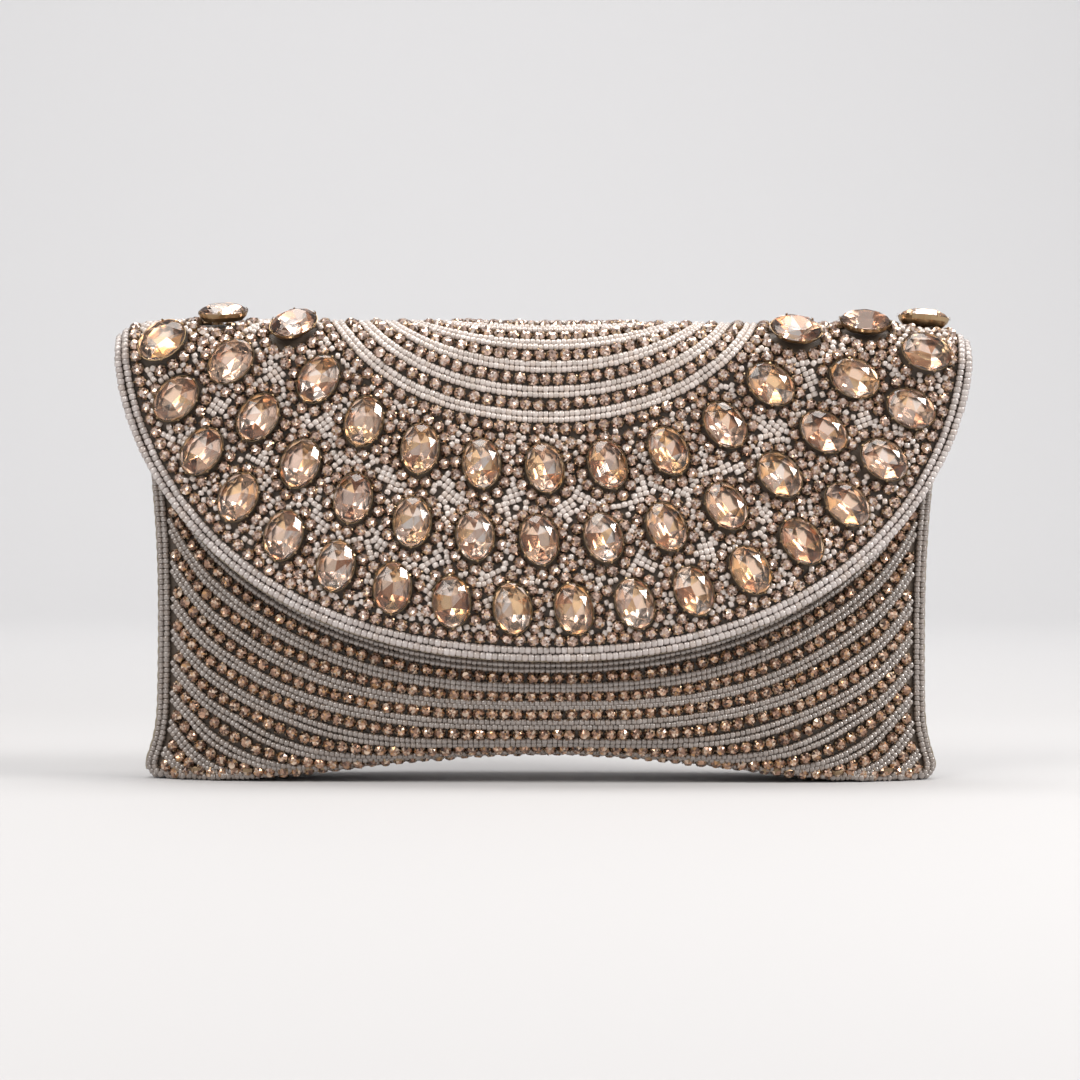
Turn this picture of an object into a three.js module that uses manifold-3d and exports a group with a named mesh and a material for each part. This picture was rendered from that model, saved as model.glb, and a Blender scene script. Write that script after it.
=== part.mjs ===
// An evening bag: a beaded envelope clutch with a rounded flap, set with oval crystals.
// Units are millimetres, +Z is up, and the front of the bag faces -Y. The origin is on the surface that
// the bag stands on, under the middle of its overall size. The shapes are worked out about the plane of the
// side seams, which lies a little behind the origin.
//
// The bag is a pillow: a front panel and a back panel, sewn together at the sides and along the bottom.
// The back panel carries on over the top as the flap. Behind each outer panel lie a stiffening board and
// the lining, and a magnetic snap holds the flap closed.
import * as THREE from "three";
import { mergeVertices } from "three/addons/utils/BufferGeometryUtils.js";
import Module from "manifold-3d";

// ---- Driving dimensions ----
const HEIGHT = 125.7; // to the top of the beads on the fold
const FOLD_RADIUS = 12.5; // of the rounded top, over the beads
const FLAP_HALF_WIDTH = 117.5;
const FLAP_REACH = 101; // from the ridge of the fold to the flap's tip, along the cloth
const FLAP_ROUNDNESS = 2.22; // exponent of the flap's outline: 2 is an ellipse, more is squarer
const BULGE = 14; // how far the filled bag pushes the flap forward
const BULGE_REACH = 75; // distance down the front over which it does so
const BACK_BULGE = 9;
const WAIST = { halfWidth: 105.8, height: 45 }; // the filled bag is drawn in here
const FLARE = { width: 1.7, height: 35, below: 0.25 }; // and widens above it, and less below it
const EAR = { width: 3.4, height: 10 }; // the bottom corners stand out
const CORNER = { width: 3.2, height: 5 }; // and are rounded at the very bottom
const BASE_HALF_DEPTH = 12; // of the flat underside
const BASE_ROUND = 16; // height of the rounding above the underside
const ARCH = 7.3; // the bottom is raised in the middle, so the bag stands on its two ends
const ARCH_HALF_WIDTH = 92;
const ARCH_HEIGHT = 34; // the arch fades out at this height
const SEAM_PLANE = 4.6; // how far the side seams lie behind the origin
const MOUTH_HEIGHT = 110; // top edge of the front panel
const SPREAD_FROM = 82; // between these heights the back panel spreads to the width of the flap
const SPREAD_TO = 111;

const BEAD_LAYER = 2; // beads and stones over the cloth
const CLOTH = 1.1;
const BOARD = 0.8;
const LINING = 0.5;
const GAP = 0.3; // between pieces that lie on each other
const LAYER_GAP = 0.45; // between large curved layers
const POUCH_SLACK = 0.9; // the lining pouch hangs clear of the boards
const POUCH_FLOOR = 12.3; // height of its lower end
const SEAM = 0.35; // half the width of the seam that joins the front panel to the back panel
const FLAP_CLEARANCE = 1.8; // between the flap's lining and the beads of the front panel

const CRYSTAL_WIDTH = 10.4;
const CRYSTAL_LENGTH = 14.2;
const CRYSTAL_HEIGHT = 3.6;
const CRYSTAL_GIRDLE = 0.8; // height of its widest part
const CRYSTAL_TABLE = 0.62; // its flat top, as a share of its width
const CRYSTAL_LIFT = 0.8; // its setting holds it off the cloth
const CRYSTAL_FOLLOW = 0.82; // how far a crystal turns with its row
const CRYSTAL_LEAN = THREE.MathUtils.degToRad(-12); // and how far every crystal leans to one side

const SNAP_HEIGHT = 52; // of the snap's axis above the surface the bag stands on
const SNAP_RADIUS = 7;
const POST_RADIUS = 2.3;
const PRONG = { width: 3, thickness: 0.7, offset: 4.6 };

// Depths below the outer beads, for the pieces that lie behind each other.
const PANEL_BACK = BEAD_LAYER + CLOTH;
const BOARD_FRONT = PANEL_BACK + LAYER_GAP;
const BOARD_BACK = BOARD_FRONT + BOARD;
const LINING_FRONT = BOARD_BACK + LAYER_GAP;
const LINING_BACK = LINING_FRONT + LINING;

const HINGE_ANGLE = THREE.MathUtils.degToRad(-60); // on the fold, from its ridge towards the back

const { PI, abs, asin, atan2, cos, exp, hypot, max, min, pow, sign, sin, sqrt } = Math;
const mix = (a, b, k) => a + (b - a) * k;
const smooth = (low, high, value) => THREE.MathUtils.smoothstep(value, low, high);
const spread = (count, low, high) =>
  Array.from({ length: count + 1 }, (_, i) => mix(low, high, i / count));

const finishes = {
  beads: { color: 0x9b928b, roughness: 0.35, metalness: 0 },
  satin: { color: 0xb9a48f, roughness: 0.5, metalness: 0 },
  piping: { color: 0x8a7b66, roughness: 0.5, metalness: 0 },
  buckram: { color: 0xcfc8bd, roughness: 0.9, metalness: 0 },
  brass: { color: 0xc9a25f, roughness: 0.3, metalness: 1 },
  steel: { color: 0xb8b8bc, roughness: 0.4, metalness: 1 },
  magnet: { color: 0x8f9094, roughness: 0.5, metalness: 1 },
  crystal: { color: 0xd9a98a, roughness: 0.08, metalness: 0 },
};

// ---- The shape of the fold and the flap ----
// Towards the ends the ridge drops and the fold tightens.
const ridgeHeight = (x) => HEIGHT - 6 * pow(abs(x) / FLAP_HALF_WIDTH, 24);
const foldRadius = (x) => FOLD_RADIUS * (1 - 0.3 * pow(abs(x) / FLAP_HALF_WIDTH, 6));
const foldCentre = (x) => ridgeHeight(x) - foldRadius(x);
const bulge = (x) => BULGE * (1 - pow(x / 128, 2));

/** How much of the bulge has been reached at a distance down the front from the fold. */
const bulgeShare = (down) => pow(sin((PI / 2) * min(1, down / BULGE_REACH)), 2);

/** A point on the beads of the flap. Along is the distance along the cloth from the ridge, down the front. */
function flapPoint(x, along) {
  const radius = foldRadius(x);
  const angle = along / radius;
  if (angle <= PI / 2)
    return new THREE.Vector3(x, -radius * sin(angle), foldCentre(x) + radius * cos(angle));
  const down = along - (radius * PI) / 2;
  const slope = pow(bulge(x) * PI, 2) / (8 * BULGE_REACH * BULGE_REACH);
  const curved = min(down, BULGE_REACH);
  const lost = slope * (curved / 2 - (BULGE_REACH / (4 * PI)) * sin((2 * PI * curved) / BULGE_REACH));
  return new THREE.Vector3(x, -radius - bulge(x) * bulgeShare(down), foldCentre(x) - down + lost);
}

/** Half the flap's width at a distance along the cloth from the ridge. */
const flapHalfWidth = (along) =>
  FLAP_HALF_WIDTH * pow(max(0, 1 - pow(abs(along) / FLAP_REACH, FLAP_ROUNDNESS)), 1 / FLAP_ROUNDNESS);

// ---- The shape of the filled body ----
/** Half the body's width. It is drawn in at the waist, and the bottom corners stand out as ears. */
function bodyHalfWidth(z) {
  const share = (z - WAIST.height) / FLARE.height;
  const flare = FLARE.width * (share > 0 ? min(share * share, share) : FLARE.below * share * share);
  const ear = EAR.width * exp(-pow(z / EAR.height, 2));
  const corner = CORNER.width * pow(max(0, 1 - z / CORNER.height), 2);
  return WAIST.halfWidth + flare + ear - corner;
}

/** How the thickness falls away towards the side seams, at a share across the half width. */
const sideTaper = (across) => sqrt(max(0, 1 - pow(abs(across), 6)));

/** Half the thickness of the body over the beads, above the bottom's rounding. */
function halfDepth(side, x, across, z) {
  const down = max(0, foldCentre(x) - z);
  if (side === "front") {
    const full = foldRadius(x) + bulge(x) * bulgeShare(down) - LINING_BACK - FLAP_CLEARANCE;
    return SEAM + (full - SEAM) * sideTaper(across);
  }
  const full = foldRadius(x) + BACK_BULGE * (1 - pow(x / 128, 2)) * bulgeShare(down * 1.2);
  const taper = mix(sideTaper(across), 1, smooth(SPREAD_FROM, SPREAD_TO, z));
  return SEAM + (full - SEAM) * taper;
}

/** How far the arch raises a point. */
const archLift = (x, z) =>
  ARCH * pow(max(0, 1 - pow(x / ARCH_HALF_WIDTH, 2)), 2) * (1 - smooth(0, ARCH_HEIGHT, z));

/** A point on the beads of the body. Level runs from 0 at the bottom seam over the flat underside, up the
 *  rounding from 1 to 2, and up the wall from 2 on, one unit for every 10 mm. */
function bodyPoint(side, across, level) {
  const turn = (PI / 2) * min(1, max(0, level - 1));
  const z = BASE_ROUND * (1 - cos(turn)) + 10 * max(0, level - 2);
  let width = bodyHalfWidth(z);
  if (side === "back") width = mix(width, FLAP_HALF_WIDTH - 0.2, smooth(SPREAD_FROM, SPREAD_TO, z));
  const x = across * width;
  const deep = halfDepth(side, x, across, max(z, BASE_ROUND));
  const under = min(deep, SEAM + (BASE_HALF_DEPTH - SEAM) * sideTaper(across));
  const y = level < 1 ? mix(SEAM, under, level) : mix(under, deep, sin(turn));
  return new THREE.Vector3(x, side === "front" ? -y : y, z + archLift(x, z));
}
const levelAt = (z) => 2 + (z - BASE_ROUND) / 10;

/** The back panel follows the body up to the fold, then the fold up to the hinge. */
function backPoint(across, level) {
  const top = levelAt(foldCentre(0));
  if (level <= top) {
    const point = bodyPoint("back", across, level);
    point.z -= (foldCentre(0) - foldCentre(point.x)) * smooth(85, foldCentre(0), point.z);
    return point;
  }
  const angle = -PI / 2 + ((level - top) * 10) / FOLD_RADIUS;
  const x = across * (FLAP_HALF_WIDTH - 0.2);
  return flapPoint(x, angle * foldRadius(x));
}

// ---- Turning surfaces into solids ----
// A surface is a function of two parameters. The first runs to the bag's right. Its hand is 1 where the
// first parameter's direction crossed with the second's points out of the bag, and -1 where it points in.
const surface = (point, hand) => Object.assign((a, b) => point(a, b), { hand });
const frontWall = surface((across, level) => bodyPoint("front", across, level), 1);
const backWall = surface((across, level) => bodyPoint("back", across, level), -1);
const backAndFold = surface(backPoint, -1);
const flapFace = surface(flapPoint, -1);

/** A point moved from a surface into the bag, square to the surface. */
function below(skin, a, b, depth) {
  const step = 1e-3;
  const alongA = skin(a + step, b).sub(skin(a - step, b));
  const alongB = skin(a, b + step).sub(skin(a, b - step));
  const normal = alongA.cross(alongB).normalize();
  return skin(a, b).addScaledVector(normal, -depth * skin.hand);
}

/** A closed solid between two sheets of points with the same rows and columns. The first sheet is seen with
 *  its rows running up and its columns running to the right. */
function solidBetween(near, far) {
  const rows = near.length;
  const columns = near[0].length;
  const points = [...near.flat(), ...far.flat()];
  const at = (sheet, i, j) => sheet * rows * columns + i * columns + j;
  const faces = [];
  const quad = (a, b, c, d) => faces.push(a, b, c, a, c, d);
  for (let i = 0; i < rows - 1; i++)
    for (let j = 0; j < columns - 1; j++) {
      quad(at(0, i, j), at(0, i, j + 1), at(0, i + 1, j + 1), at(0, i + 1, j));
      quad(at(1, i, j), at(1, i + 1, j), at(1, i + 1, j + 1), at(1, i, j + 1));
    }
  for (let j = 0; j < columns - 1; j++) {
    quad(at(1, 0, j), at(1, 0, j + 1), at(0, 0, j + 1), at(0, 0, j));
    quad(at(0, rows - 1, j), at(0, rows - 1, j + 1), at(1, rows - 1, j + 1), at(1, rows - 1, j));
  }
  for (let i = 0; i < rows - 1; i++) {
    quad(at(0, i, 0), at(0, i + 1, 0), at(1, i + 1, 0), at(1, i, 0));
    quad(at(1, i, columns - 1), at(1, i + 1, columns - 1), at(0, i + 1, columns - 1), at(0, i, columns - 1));
  }
  return new THREE.BufferGeometry()
    .setAttribute("position", new THREE.Float32BufferAttribute(points.flatMap((p) => p.toArray()), 3))
    .setIndex(faces);
}

/** The body's walls stay on their own side of the seam. */
function keepToSide(skin, point) {
  const limit = SEAM / 2;
  if (skin === frontWall) point.y = min(point.y, -limit);
  if (skin === backWall || skin === backAndFold) point.y = max(point.y, limit);
  return point;
}

/** A layer of a surface, from one depth to another, over a grid of its two parameters. */
function layer(skin, acrosses, levels, from, to) {
  const columns = skin.hand > 0 ? acrosses : [...acrosses].reverse();
  const sheet = (depth) =>
    levels.map((level) => columns.map((across) => keepToSide(skin, below(skin, across, level, depth))));
  return solidBetween(sheet(from), sheet(to));
}

const wasm = await Module();
wasm.setup();

function toSolid(geometry) {
  const bare = geometry.clone();
  for (const name of ["normal", "uv"]) bare.deleteAttribute(name);
  const merged = mergeVertices(bare, 1e-4);
  return new wasm.Manifold(new wasm.Mesh({ numProp: 3,
    vertProperties: merged.attributes.position.array, triVerts: new Uint32Array(merged.index.array) }));
}

function fromSolid(solid) {
  const { numProp, vertProperties, triVerts } = solid.getMesh();
  const corners = new Float32Array((vertProperties.length / numProp) * 3);
  for (let i = 0; i < corners.length / 3; i++)
    corners.set(vertProperties.subarray(i * numProp, i * numProp + 3), i * 3);
  return new THREE.BufferGeometry()
    .setAttribute("position", new THREE.BufferAttribute(corners, 3))
    .setIndex(new THREE.BufferAttribute(triVerts, 1));
}

const cut = (geometry, tools) =>
  fromSolid(tools.reduce((solid, tool) => solid.subtract(toSolid(tool)), toSolid(geometry)));
const join = (geometry, others) =>
  fromSolid(others.reduce((solid, other) => solid.add(toSolid(other)), toSolid(geometry)));

const bag = new THREE.Group();
bag.position.y = SEAM_PLANE;
const body = new THREE.Group();
const flap = new THREE.Group();
bag.add(body, flap);

function place(parent, name, geometry, finish) {
  const mesh = new THREE.Mesh(geometry, new THREE.MeshStandardMaterial(finish));
  mesh.name = name;
  parent.add(mesh);
  return mesh;
}

// ---- The magnetic snap's own frame: its axis runs along Z, out of the bag's front ----
const snapSeat = bodyPoint("front", 0, levelAt(SNAP_HEIGHT));
const snapOut = below(frontWall, 0, levelAt(SNAP_HEIGHT), -1).sub(snapSeat);
const snapTurn = new THREE.Quaternion().setFromUnitVectors(new THREE.Vector3(0, 0, 1), snapOut.normalize());
const snapMatrix = new THREE.Matrix4().compose(snapSeat, snapTurn, new THREE.Vector3(1, 1, 1));
const inSnapFrame = (geometry) => geometry.clone().applyMatrix4(snapMatrix);

/** A solid of revolution about Z from a profile of radii and heights. */
function turned(profile, segments = 24) {
  const points = profile.map(([radius, height]) => new THREE.Vector2(radius, height));
  return new THREE.LatheGeometry(points, segments).rotateX(PI / 2);
}

function disc(radius, low, high, segments = 24) {
  return new THREE.CylinderGeometry(radius, radius, high - low, segments)
    .rotateX(PI / 2)
    .translate(0, 0, (low + high) / 2);
}

const prongs = (low, high, slack = 0) =>
  [-1, 1].map((hand) =>
    new THREE.BoxGeometry(PRONG.thickness + 2 * slack, PRONG.width + 2 * slack, high - low)
      .translate(hand * PRONG.offset, 0, (low + high) / 2));

// Heights in the snap's frame: 0 is the level of the beads around it.
const SOCKET_BASE = -BEAD_LAYER + GAP;
const SOCKET_TOP = 0.4;
const FLAP_LINING = FLAP_CLEARANCE; // the flap lining's face towards the bag
const STUD_BASE = FLAP_LINING - GAP;
const STUD_FACE = SOCKET_TOP + GAP;
const WASHER = { low: -BOARD_BACK, high: -BOARD_BACK + 0.5 };
const FLAP_WASHER = { low: FLAP_CLEARANCE + LINING + GAP + 0.2, high: FLAP_CLEARANCE + LINING + GAP + 0.7 };

function snapSocket() {
  const inner = POST_RADIUS + 0.4;
  const wall = 0.5;
  const cup = turned([[inner, SOCKET_BASE], [inner + wall, SOCKET_BASE], [inner + wall, SOCKET_TOP - wall],
    [SNAP_RADIUS - wall, SOCKET_TOP - wall], [SNAP_RADIUS - wall, SOCKET_BASE], [SNAP_RADIUS, SOCKET_BASE],
    [SNAP_RADIUS, SOCKET_TOP - 0.3], [SNAP_RADIUS - 0.3, SOCKET_TOP], [inner, SOCKET_TOP],
    [inner, SOCKET_BASE]]);
  // The prongs hang from the cup's roof and pass through the cloth to the washer behind it.
  return join(cup, prongs(-BOARD_BACK - 0.1, SOCKET_TOP - wall / 2));
}

function snapMagnet() {
  const low = SOCKET_BASE + 0.1;
  const high = SOCKET_TOP - 0.5 - GAP;
  const inner = POST_RADIUS + 0.4 + 0.5 + GAP;
  const outer = SNAP_RADIUS - 0.5 - GAP;
  const ring = turned([[inner, low], [outer, low], [outer, high], [inner, high], [inner, low]]);
  return cut(ring, prongs(low - 1, high + 1, GAP));
}

function snapStud() {
  const base = turned([[0, STUD_FACE], [SNAP_RADIUS - 0.4, STUD_FACE], [SNAP_RADIUS, STUD_FACE + 0.3],
    [SNAP_RADIUS, STUD_BASE], [0, STUD_BASE]]);
  const post = disc(POST_RADIUS, SOCKET_BASE + 0.3, STUD_FACE + 0.2);
  return join(base, [post, ...prongs(STUD_BASE - 0.2, FLAP_WASHER.high + 0.3)]);
}

const washer = ({ low, high }) => cut(disc(SNAP_RADIUS - 0.3, low, high), prongs(low - 1, high + 1, GAP));

// ---- The bag's pieces ----
/** Shares across the width, closer together towards the side seams. */
const acrossAll = (count, reach = 1) => {
  const end = (PI / 2) * 0.985;
  return spread(count, -1, 1).map((k) => (reach * sin(end * k)) / sin(end));
};

const wallOf = { front: frontWall, back: backWall };

function frontPanel() {
  const underside = [...spread(2, 0.02, 1), ...spread(5, 1, 2).slice(1)];
  const levels = [...underside, ...spread(8, 2, levelAt(MOUTH_HEIGHT)).slice(1)];
  const panel = layer(frontWall, acrossAll(20, 0.999), levels, 0, PANEL_BACK);
  const recess = disc(SNAP_RADIUS + 1, -BEAD_LAYER, 5);
  return cut(panel, [recess, ...prongs(-PANEL_BACK - 2, 3, GAP)].map(inSnapFrame));
}

function backPanel() {
  const top = levelAt(foldCentre(0));
  const hinge = top + ((HINGE_ANGLE + PI / 2) * FOLD_RADIUS) / 10 - 0.02;
  const underside = [...spread(2, 0.02, 1), ...spread(5, 1, 2).slice(1)];
  const wall = spread(9, 2, top).slice(1);
  const fold = spread(2, top, hinge).slice(1);
  const levels = [...underside, ...wall, ...fold];
  return layer(backAndFold, acrossAll(20, 0.999), levels, 0, PANEL_BACK);
}

/** A stiffening board follows its wall but stops short of the seams. */
function board(side, top) {
  const levels = spread(7, 2, levelAt(top));
  return layer(wallOf[side], acrossAll(12, 0.9), levels, BOARD_FRONT, BOARD_BACK);
}

/** The lining is a pouch with an open mouth. Each ring runs round the inside of the body at one height. */
function liningPouch() {
  const shares = acrossAll(14, 0.88);
  const heights = [POUCH_FLOOR, 14, ...spread(6, BASE_ROUND, MOUTH_HEIGHT - 4)];
  const ring = (z, thickness) => {
    // Below the walls the pouch narrows towards its floor.
    const narrowing = z < BASE_ROUND ? mix(0.6, 0.95, (z - POUCH_FLOOR) / (BASE_ROUND - POUCH_FLOOR)) : 1;
    const side = (wall, order) =>
      order.map((share) => {
        const depth = LINING_FRONT + POUCH_SLACK + thickness;
        const point = below(wall, share * (1 - thickness / 100), levelAt(max(z, BASE_ROUND)), depth);
        return new THREE.Vector3(point.x, point.y * narrowing, z);
      });
    return [...side(frontWall, shares), ...side(backWall, [...shares].reverse())];
  };
  const outer = heights.map((z) => ring(z, 0));
  const inner = heights.map((z, i) => ring(i ? z : z + LINING, LINING));
  const around = outer[0].length;
  const at = (sheet, i, j) => (sheet * heights.length + i) * around + (j % around);
  const faces = [];
  const quad = (a, b, c, d) => faces.push(a, b, c, a, c, d);
  const last = heights.length - 1;
  for (let j = 0; j < around; j++) {
    for (let i = 0; i < last; i++) {
      quad(at(0, i, j), at(0, i, j + 1), at(0, i + 1, j + 1), at(0, i + 1, j));
      quad(at(1, i, j), at(1, i + 1, j), at(1, i + 1, j + 1), at(1, i, j + 1));
    }
    quad(at(0, last, j), at(0, last, j + 1), at(1, last, j + 1), at(1, last, j));
  }
  // The floor joins each point at the front to the point behind it.
  const behind = (j) => around - 1 - j;
  for (let j = 0; j < shares.length - 1; j++) {
    quad(at(0, 0, behind(j)), at(0, 0, behind(j + 1)), at(0, 0, j + 1), at(0, 0, j));
    quad(at(1, 0, j), at(1, 0, j + 1), at(1, 0, behind(j + 1)), at(1, 0, behind(j)));
  }
  return new THREE.BufferGeometry()
    .setAttribute("position", new THREE.Float32BufferAttribute([...outer, ...inner].flat()
      .flatMap((p) => p.toArray()), 3))
    .setIndex(faces);
}

function slipPocket() {
  const depth = LINING_BACK + 2 * POUCH_SLACK;
  return layer(backWall, spread(8, -0.42, 0.42), spread(4, levelAt(32), levelAt(86)), depth, depth + LINING);
}

// ---- The flap's pieces ----
const hingeAlong = HINGE_ANGLE * FOLD_RADIUS + 0.2;
/** Distances along the flap: even over the fold, then closer together where the outline turns to the tip. */
const flapRows = (count, first, last) => {
  const turn = (value) => asin(pow(value / FLAP_REACH, FLAP_ROUNDNESS / 2));
  const rows = spread(count, turn(max(first, 12)), turn(last)).map((angle) =>
    FLAP_REACH * pow(sin(angle), 2 / FLAP_ROUNDNESS));
  return first < 12 ? [...spread(4, first, 12).slice(0, -1), ...rows] : rows;
};
/** The flap's surface with the width as a share of its outline, less a margin. */
const flapSheet = (margin) => surface((across, along) => {
  const halfWidth = flapHalfWidth(along * (FLAP_REACH / (FLAP_REACH - margin))) - margin;
  const x = across * max(4, halfWidth);
  return flapPoint(x, along < 0 ? (along / FOLD_RADIUS) * foldRadius(x) : along);
}, -1);

function flapPanel() {
  return layer(flapSheet(0.01), acrossAll(18), flapRows(10, hingeAlong, FLAP_REACH - 0.4), 0, PANEL_BACK);
}

function flapBoard() {
  const plate = layer(flapSheet(7), acrossAll(12), flapRows(7, 24, FLAP_REACH - 8), BOARD_FRONT, BOARD_BACK);
  return cut(plate, [inSnapFrame(disc(SNAP_RADIUS + 0.3, FLAP_CLEARANCE, 8))]);
}

function flapLining() {
  const sheet = layer(flapSheet(3), acrossAll(14), flapRows(9, hingeAlong + 1, FLAP_REACH - 4),
    LINING_FRONT, LINING_BACK);
  return cut(sheet, prongs(0, 8, GAP).map(inSnapFrame));
}

/** The piping is a thin satin cord sewn round the flap's edge, between the panel and the lining. */
function flapPiping() {
  const edge = (turn) => {
    const along = FLAP_REACH * pow(abs(sin(turn)), 2 / FLAP_ROUNDNESS);
    const x = sign(cos(turn)) * FLAP_HALF_WIDTH * pow(abs(cos(turn)), 2 / FLAP_ROUNDNESS);
    const inset = flapPoint(x * 0.996, along * 0.996);
    const depth = PANEL_BACK + GAP + 0.6;
    return below(flapFace, inset.x, along * 0.996, depth);
  };
  const points = spread(48, 0.1, PI - 0.1).map(edge);
  const route = new THREE.CatmullRomCurve3(points);
  const section = new THREE.Shape().absarc(0, 0, 0.55, 0, 2 * PI);
  return new THREE.ExtrudeGeometry(section, { extrudePath: route, steps: 60, curveSegments: 6 });
}

// ---- The crystals ----
// They are set in three rows, each a half ellipse about the middle of the ridge.
const crystalRows = [
  { name: "inner", reach: 48.5, halfWidth: 69.1, count: 11, start: 0.046, end: 0.949 },
  { name: "middle", reach: 68.5, halfWidth: 87.6, count: 15, start: 0.008, end: 0.976 },
  { name: "outer", reach: 87, halfWidth: 104.3, count: 19, start: 0.042, end: 1.005 },
];

/** Points evenly spaced along a row, from its left end to its right end. */
function crystalPlaces({ reach, halfWidth, count, start, end }) {
  const n = 2.13;
  const point = (turn) => ({
    x: -halfWidth * sign(cos(turn)) * pow(abs(cos(turn)), 2 / n),
    along: reach * sign(sin(turn)) * pow(abs(sin(turn)), 2 / n),
  });
  const fine = spread(2000, -0.2, PI + 0.2).map(point);
  const lengths = [0];
  for (let i = 1; i < fine.length; i++)
    lengths.push(lengths[i - 1] + hypot(fine[i].x - fine[i - 1].x, fine[i].along - fine[i - 1].along));
  const lengthAt = (turn) => lengths[Math.round(((turn + 0.2) / (PI + 0.4)) * 2000)];
  const total = lengthAt(PI) - lengthAt(0);
  return spread(count - 1, start, end).map((share) => {
    const target = lengthAt(0) + share * total;
    const i = lengths.findIndex((length) => length >= target);
    const [before, here] = [fine[i - 1], fine[i]];
    return { ...here, heading: atan2(here.along - before.along, here.x - before.x) };
  });
}

function crystalShape() {
  const radius = CRYSTAL_WIDTH / 2;
  const table = radius * CRYSTAL_TABLE;
  const top = CRYSTAL_HEIGHT;
  const profile = [[0, 0], [radius, 0], [radius, CRYSTAL_GIRDLE], [table, top], [0, top]];
  return turned(profile, 10).scale(1, CRYSTAL_LENGTH / CRYSTAL_WIDTH, 1);
}

/** A crystal lies flat on the beads, its length square to its row but for the common lean. */
function placeCrystal(name, { x, along, heading }) {
  const mesh = place(flap, name, crystalShape(), finishes.crystal);
  const centre = flapPoint(x, along);
  const out = below(flapFace, x, along, -1).sub(centre).normalize();
  const down = flapPoint(x, along + 0.01).sub(flapPoint(x, along - 0.01)).normalize();
  const right = new THREE.Vector3().crossVectors(down, out).negate();
  const turn = CRYSTAL_FOLLOW * heading + PI / 2 + CRYSTAL_LEAN;
  const long = right.clone().multiplyScalar(cos(turn)).addScaledVector(down, sin(turn)).normalize();
  const wide = new THREE.Vector3().crossVectors(long, out);
  mesh.quaternion.setFromRotationMatrix(new THREE.Matrix4().makeBasis(wide, long, out));
  mesh.position.copy(centre).addScaledVector(out, CRYSTAL_LIFT);
}

// ---- Assembly ----
/** The front board has a round hole that the snap's socket sits in. */
const frontBoard = () => cut(board("front", 104), [inSnapFrame(disc(SNAP_RADIUS + 0.5, -8, 3))]);

place(body, "front_panel", frontPanel(), finishes.beads);
place(body, "back_panel", backPanel(), finishes.beads);
place(body, "front_board", frontBoard(), finishes.buckram);
place(body, "back_board", board("back", 96), finishes.buckram);
place(body, "lining_pouch", liningPouch(), finishes.satin);
place(body, "slip_pocket", slipPocket(), finishes.satin);
place(body, "snap_socket", inSnapFrame(snapSocket()), finishes.brass);
place(body, "snap_magnet", inSnapFrame(snapMagnet()), finishes.magnet);
place(body, "socket_washer", inSnapFrame(washer(WASHER)), finishes.steel);

place(flap, "flap_panel", flapPanel(), finishes.beads);
place(flap, "flap_board", flapBoard(), finishes.buckram);
place(flap, "flap_lining", flapLining(), finishes.satin);
place(flap, "flap_piping", flapPiping(), finishes.piping);
place(flap, "snap_stud", inSnapFrame(snapStud()), finishes.brass);
place(flap, "stud_washer", inSnapFrame(washer(FLAP_WASHER)), finishes.steel);

for (const row of crystalRows)
  crystalPlaces(row).forEach((spot, i) =>
    placeCrystal(`crystal_${row.name}_${String(i + 1).padStart(2, "0")}`, spot));

export default bag;
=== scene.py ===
"""A beaded evening clutch: bead rows, claw-set rhinestones and oval crystals on satin.

The frame's solids hold the sizes. This script covers them with cloth, beads and stones, which all lie
on the same two smooth surfaces as the solids: the flap with its fold, and the filled body.
"""

import math

import bpy
import numpy as np
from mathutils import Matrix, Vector


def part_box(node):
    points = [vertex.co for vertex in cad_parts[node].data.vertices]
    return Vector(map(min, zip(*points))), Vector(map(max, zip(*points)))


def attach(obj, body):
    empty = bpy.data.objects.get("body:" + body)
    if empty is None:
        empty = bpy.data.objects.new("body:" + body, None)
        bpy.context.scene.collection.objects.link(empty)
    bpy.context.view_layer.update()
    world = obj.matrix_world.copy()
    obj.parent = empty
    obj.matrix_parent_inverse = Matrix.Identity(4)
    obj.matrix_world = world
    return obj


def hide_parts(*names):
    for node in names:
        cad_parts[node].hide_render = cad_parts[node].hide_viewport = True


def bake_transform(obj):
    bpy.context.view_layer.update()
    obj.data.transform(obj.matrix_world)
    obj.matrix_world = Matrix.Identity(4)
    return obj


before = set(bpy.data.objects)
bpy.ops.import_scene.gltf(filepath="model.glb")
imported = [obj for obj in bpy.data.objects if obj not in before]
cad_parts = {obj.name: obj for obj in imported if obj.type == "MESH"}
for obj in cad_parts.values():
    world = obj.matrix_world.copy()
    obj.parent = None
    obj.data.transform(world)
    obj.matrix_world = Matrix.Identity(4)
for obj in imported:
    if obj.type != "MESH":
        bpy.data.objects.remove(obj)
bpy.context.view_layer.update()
MM = 0.001


def box_mm(node):
    """A node's lowest and highest corners in millimetres."""
    low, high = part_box(node)
    return np.array(low) / MM, np.array(high) / MM


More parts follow.
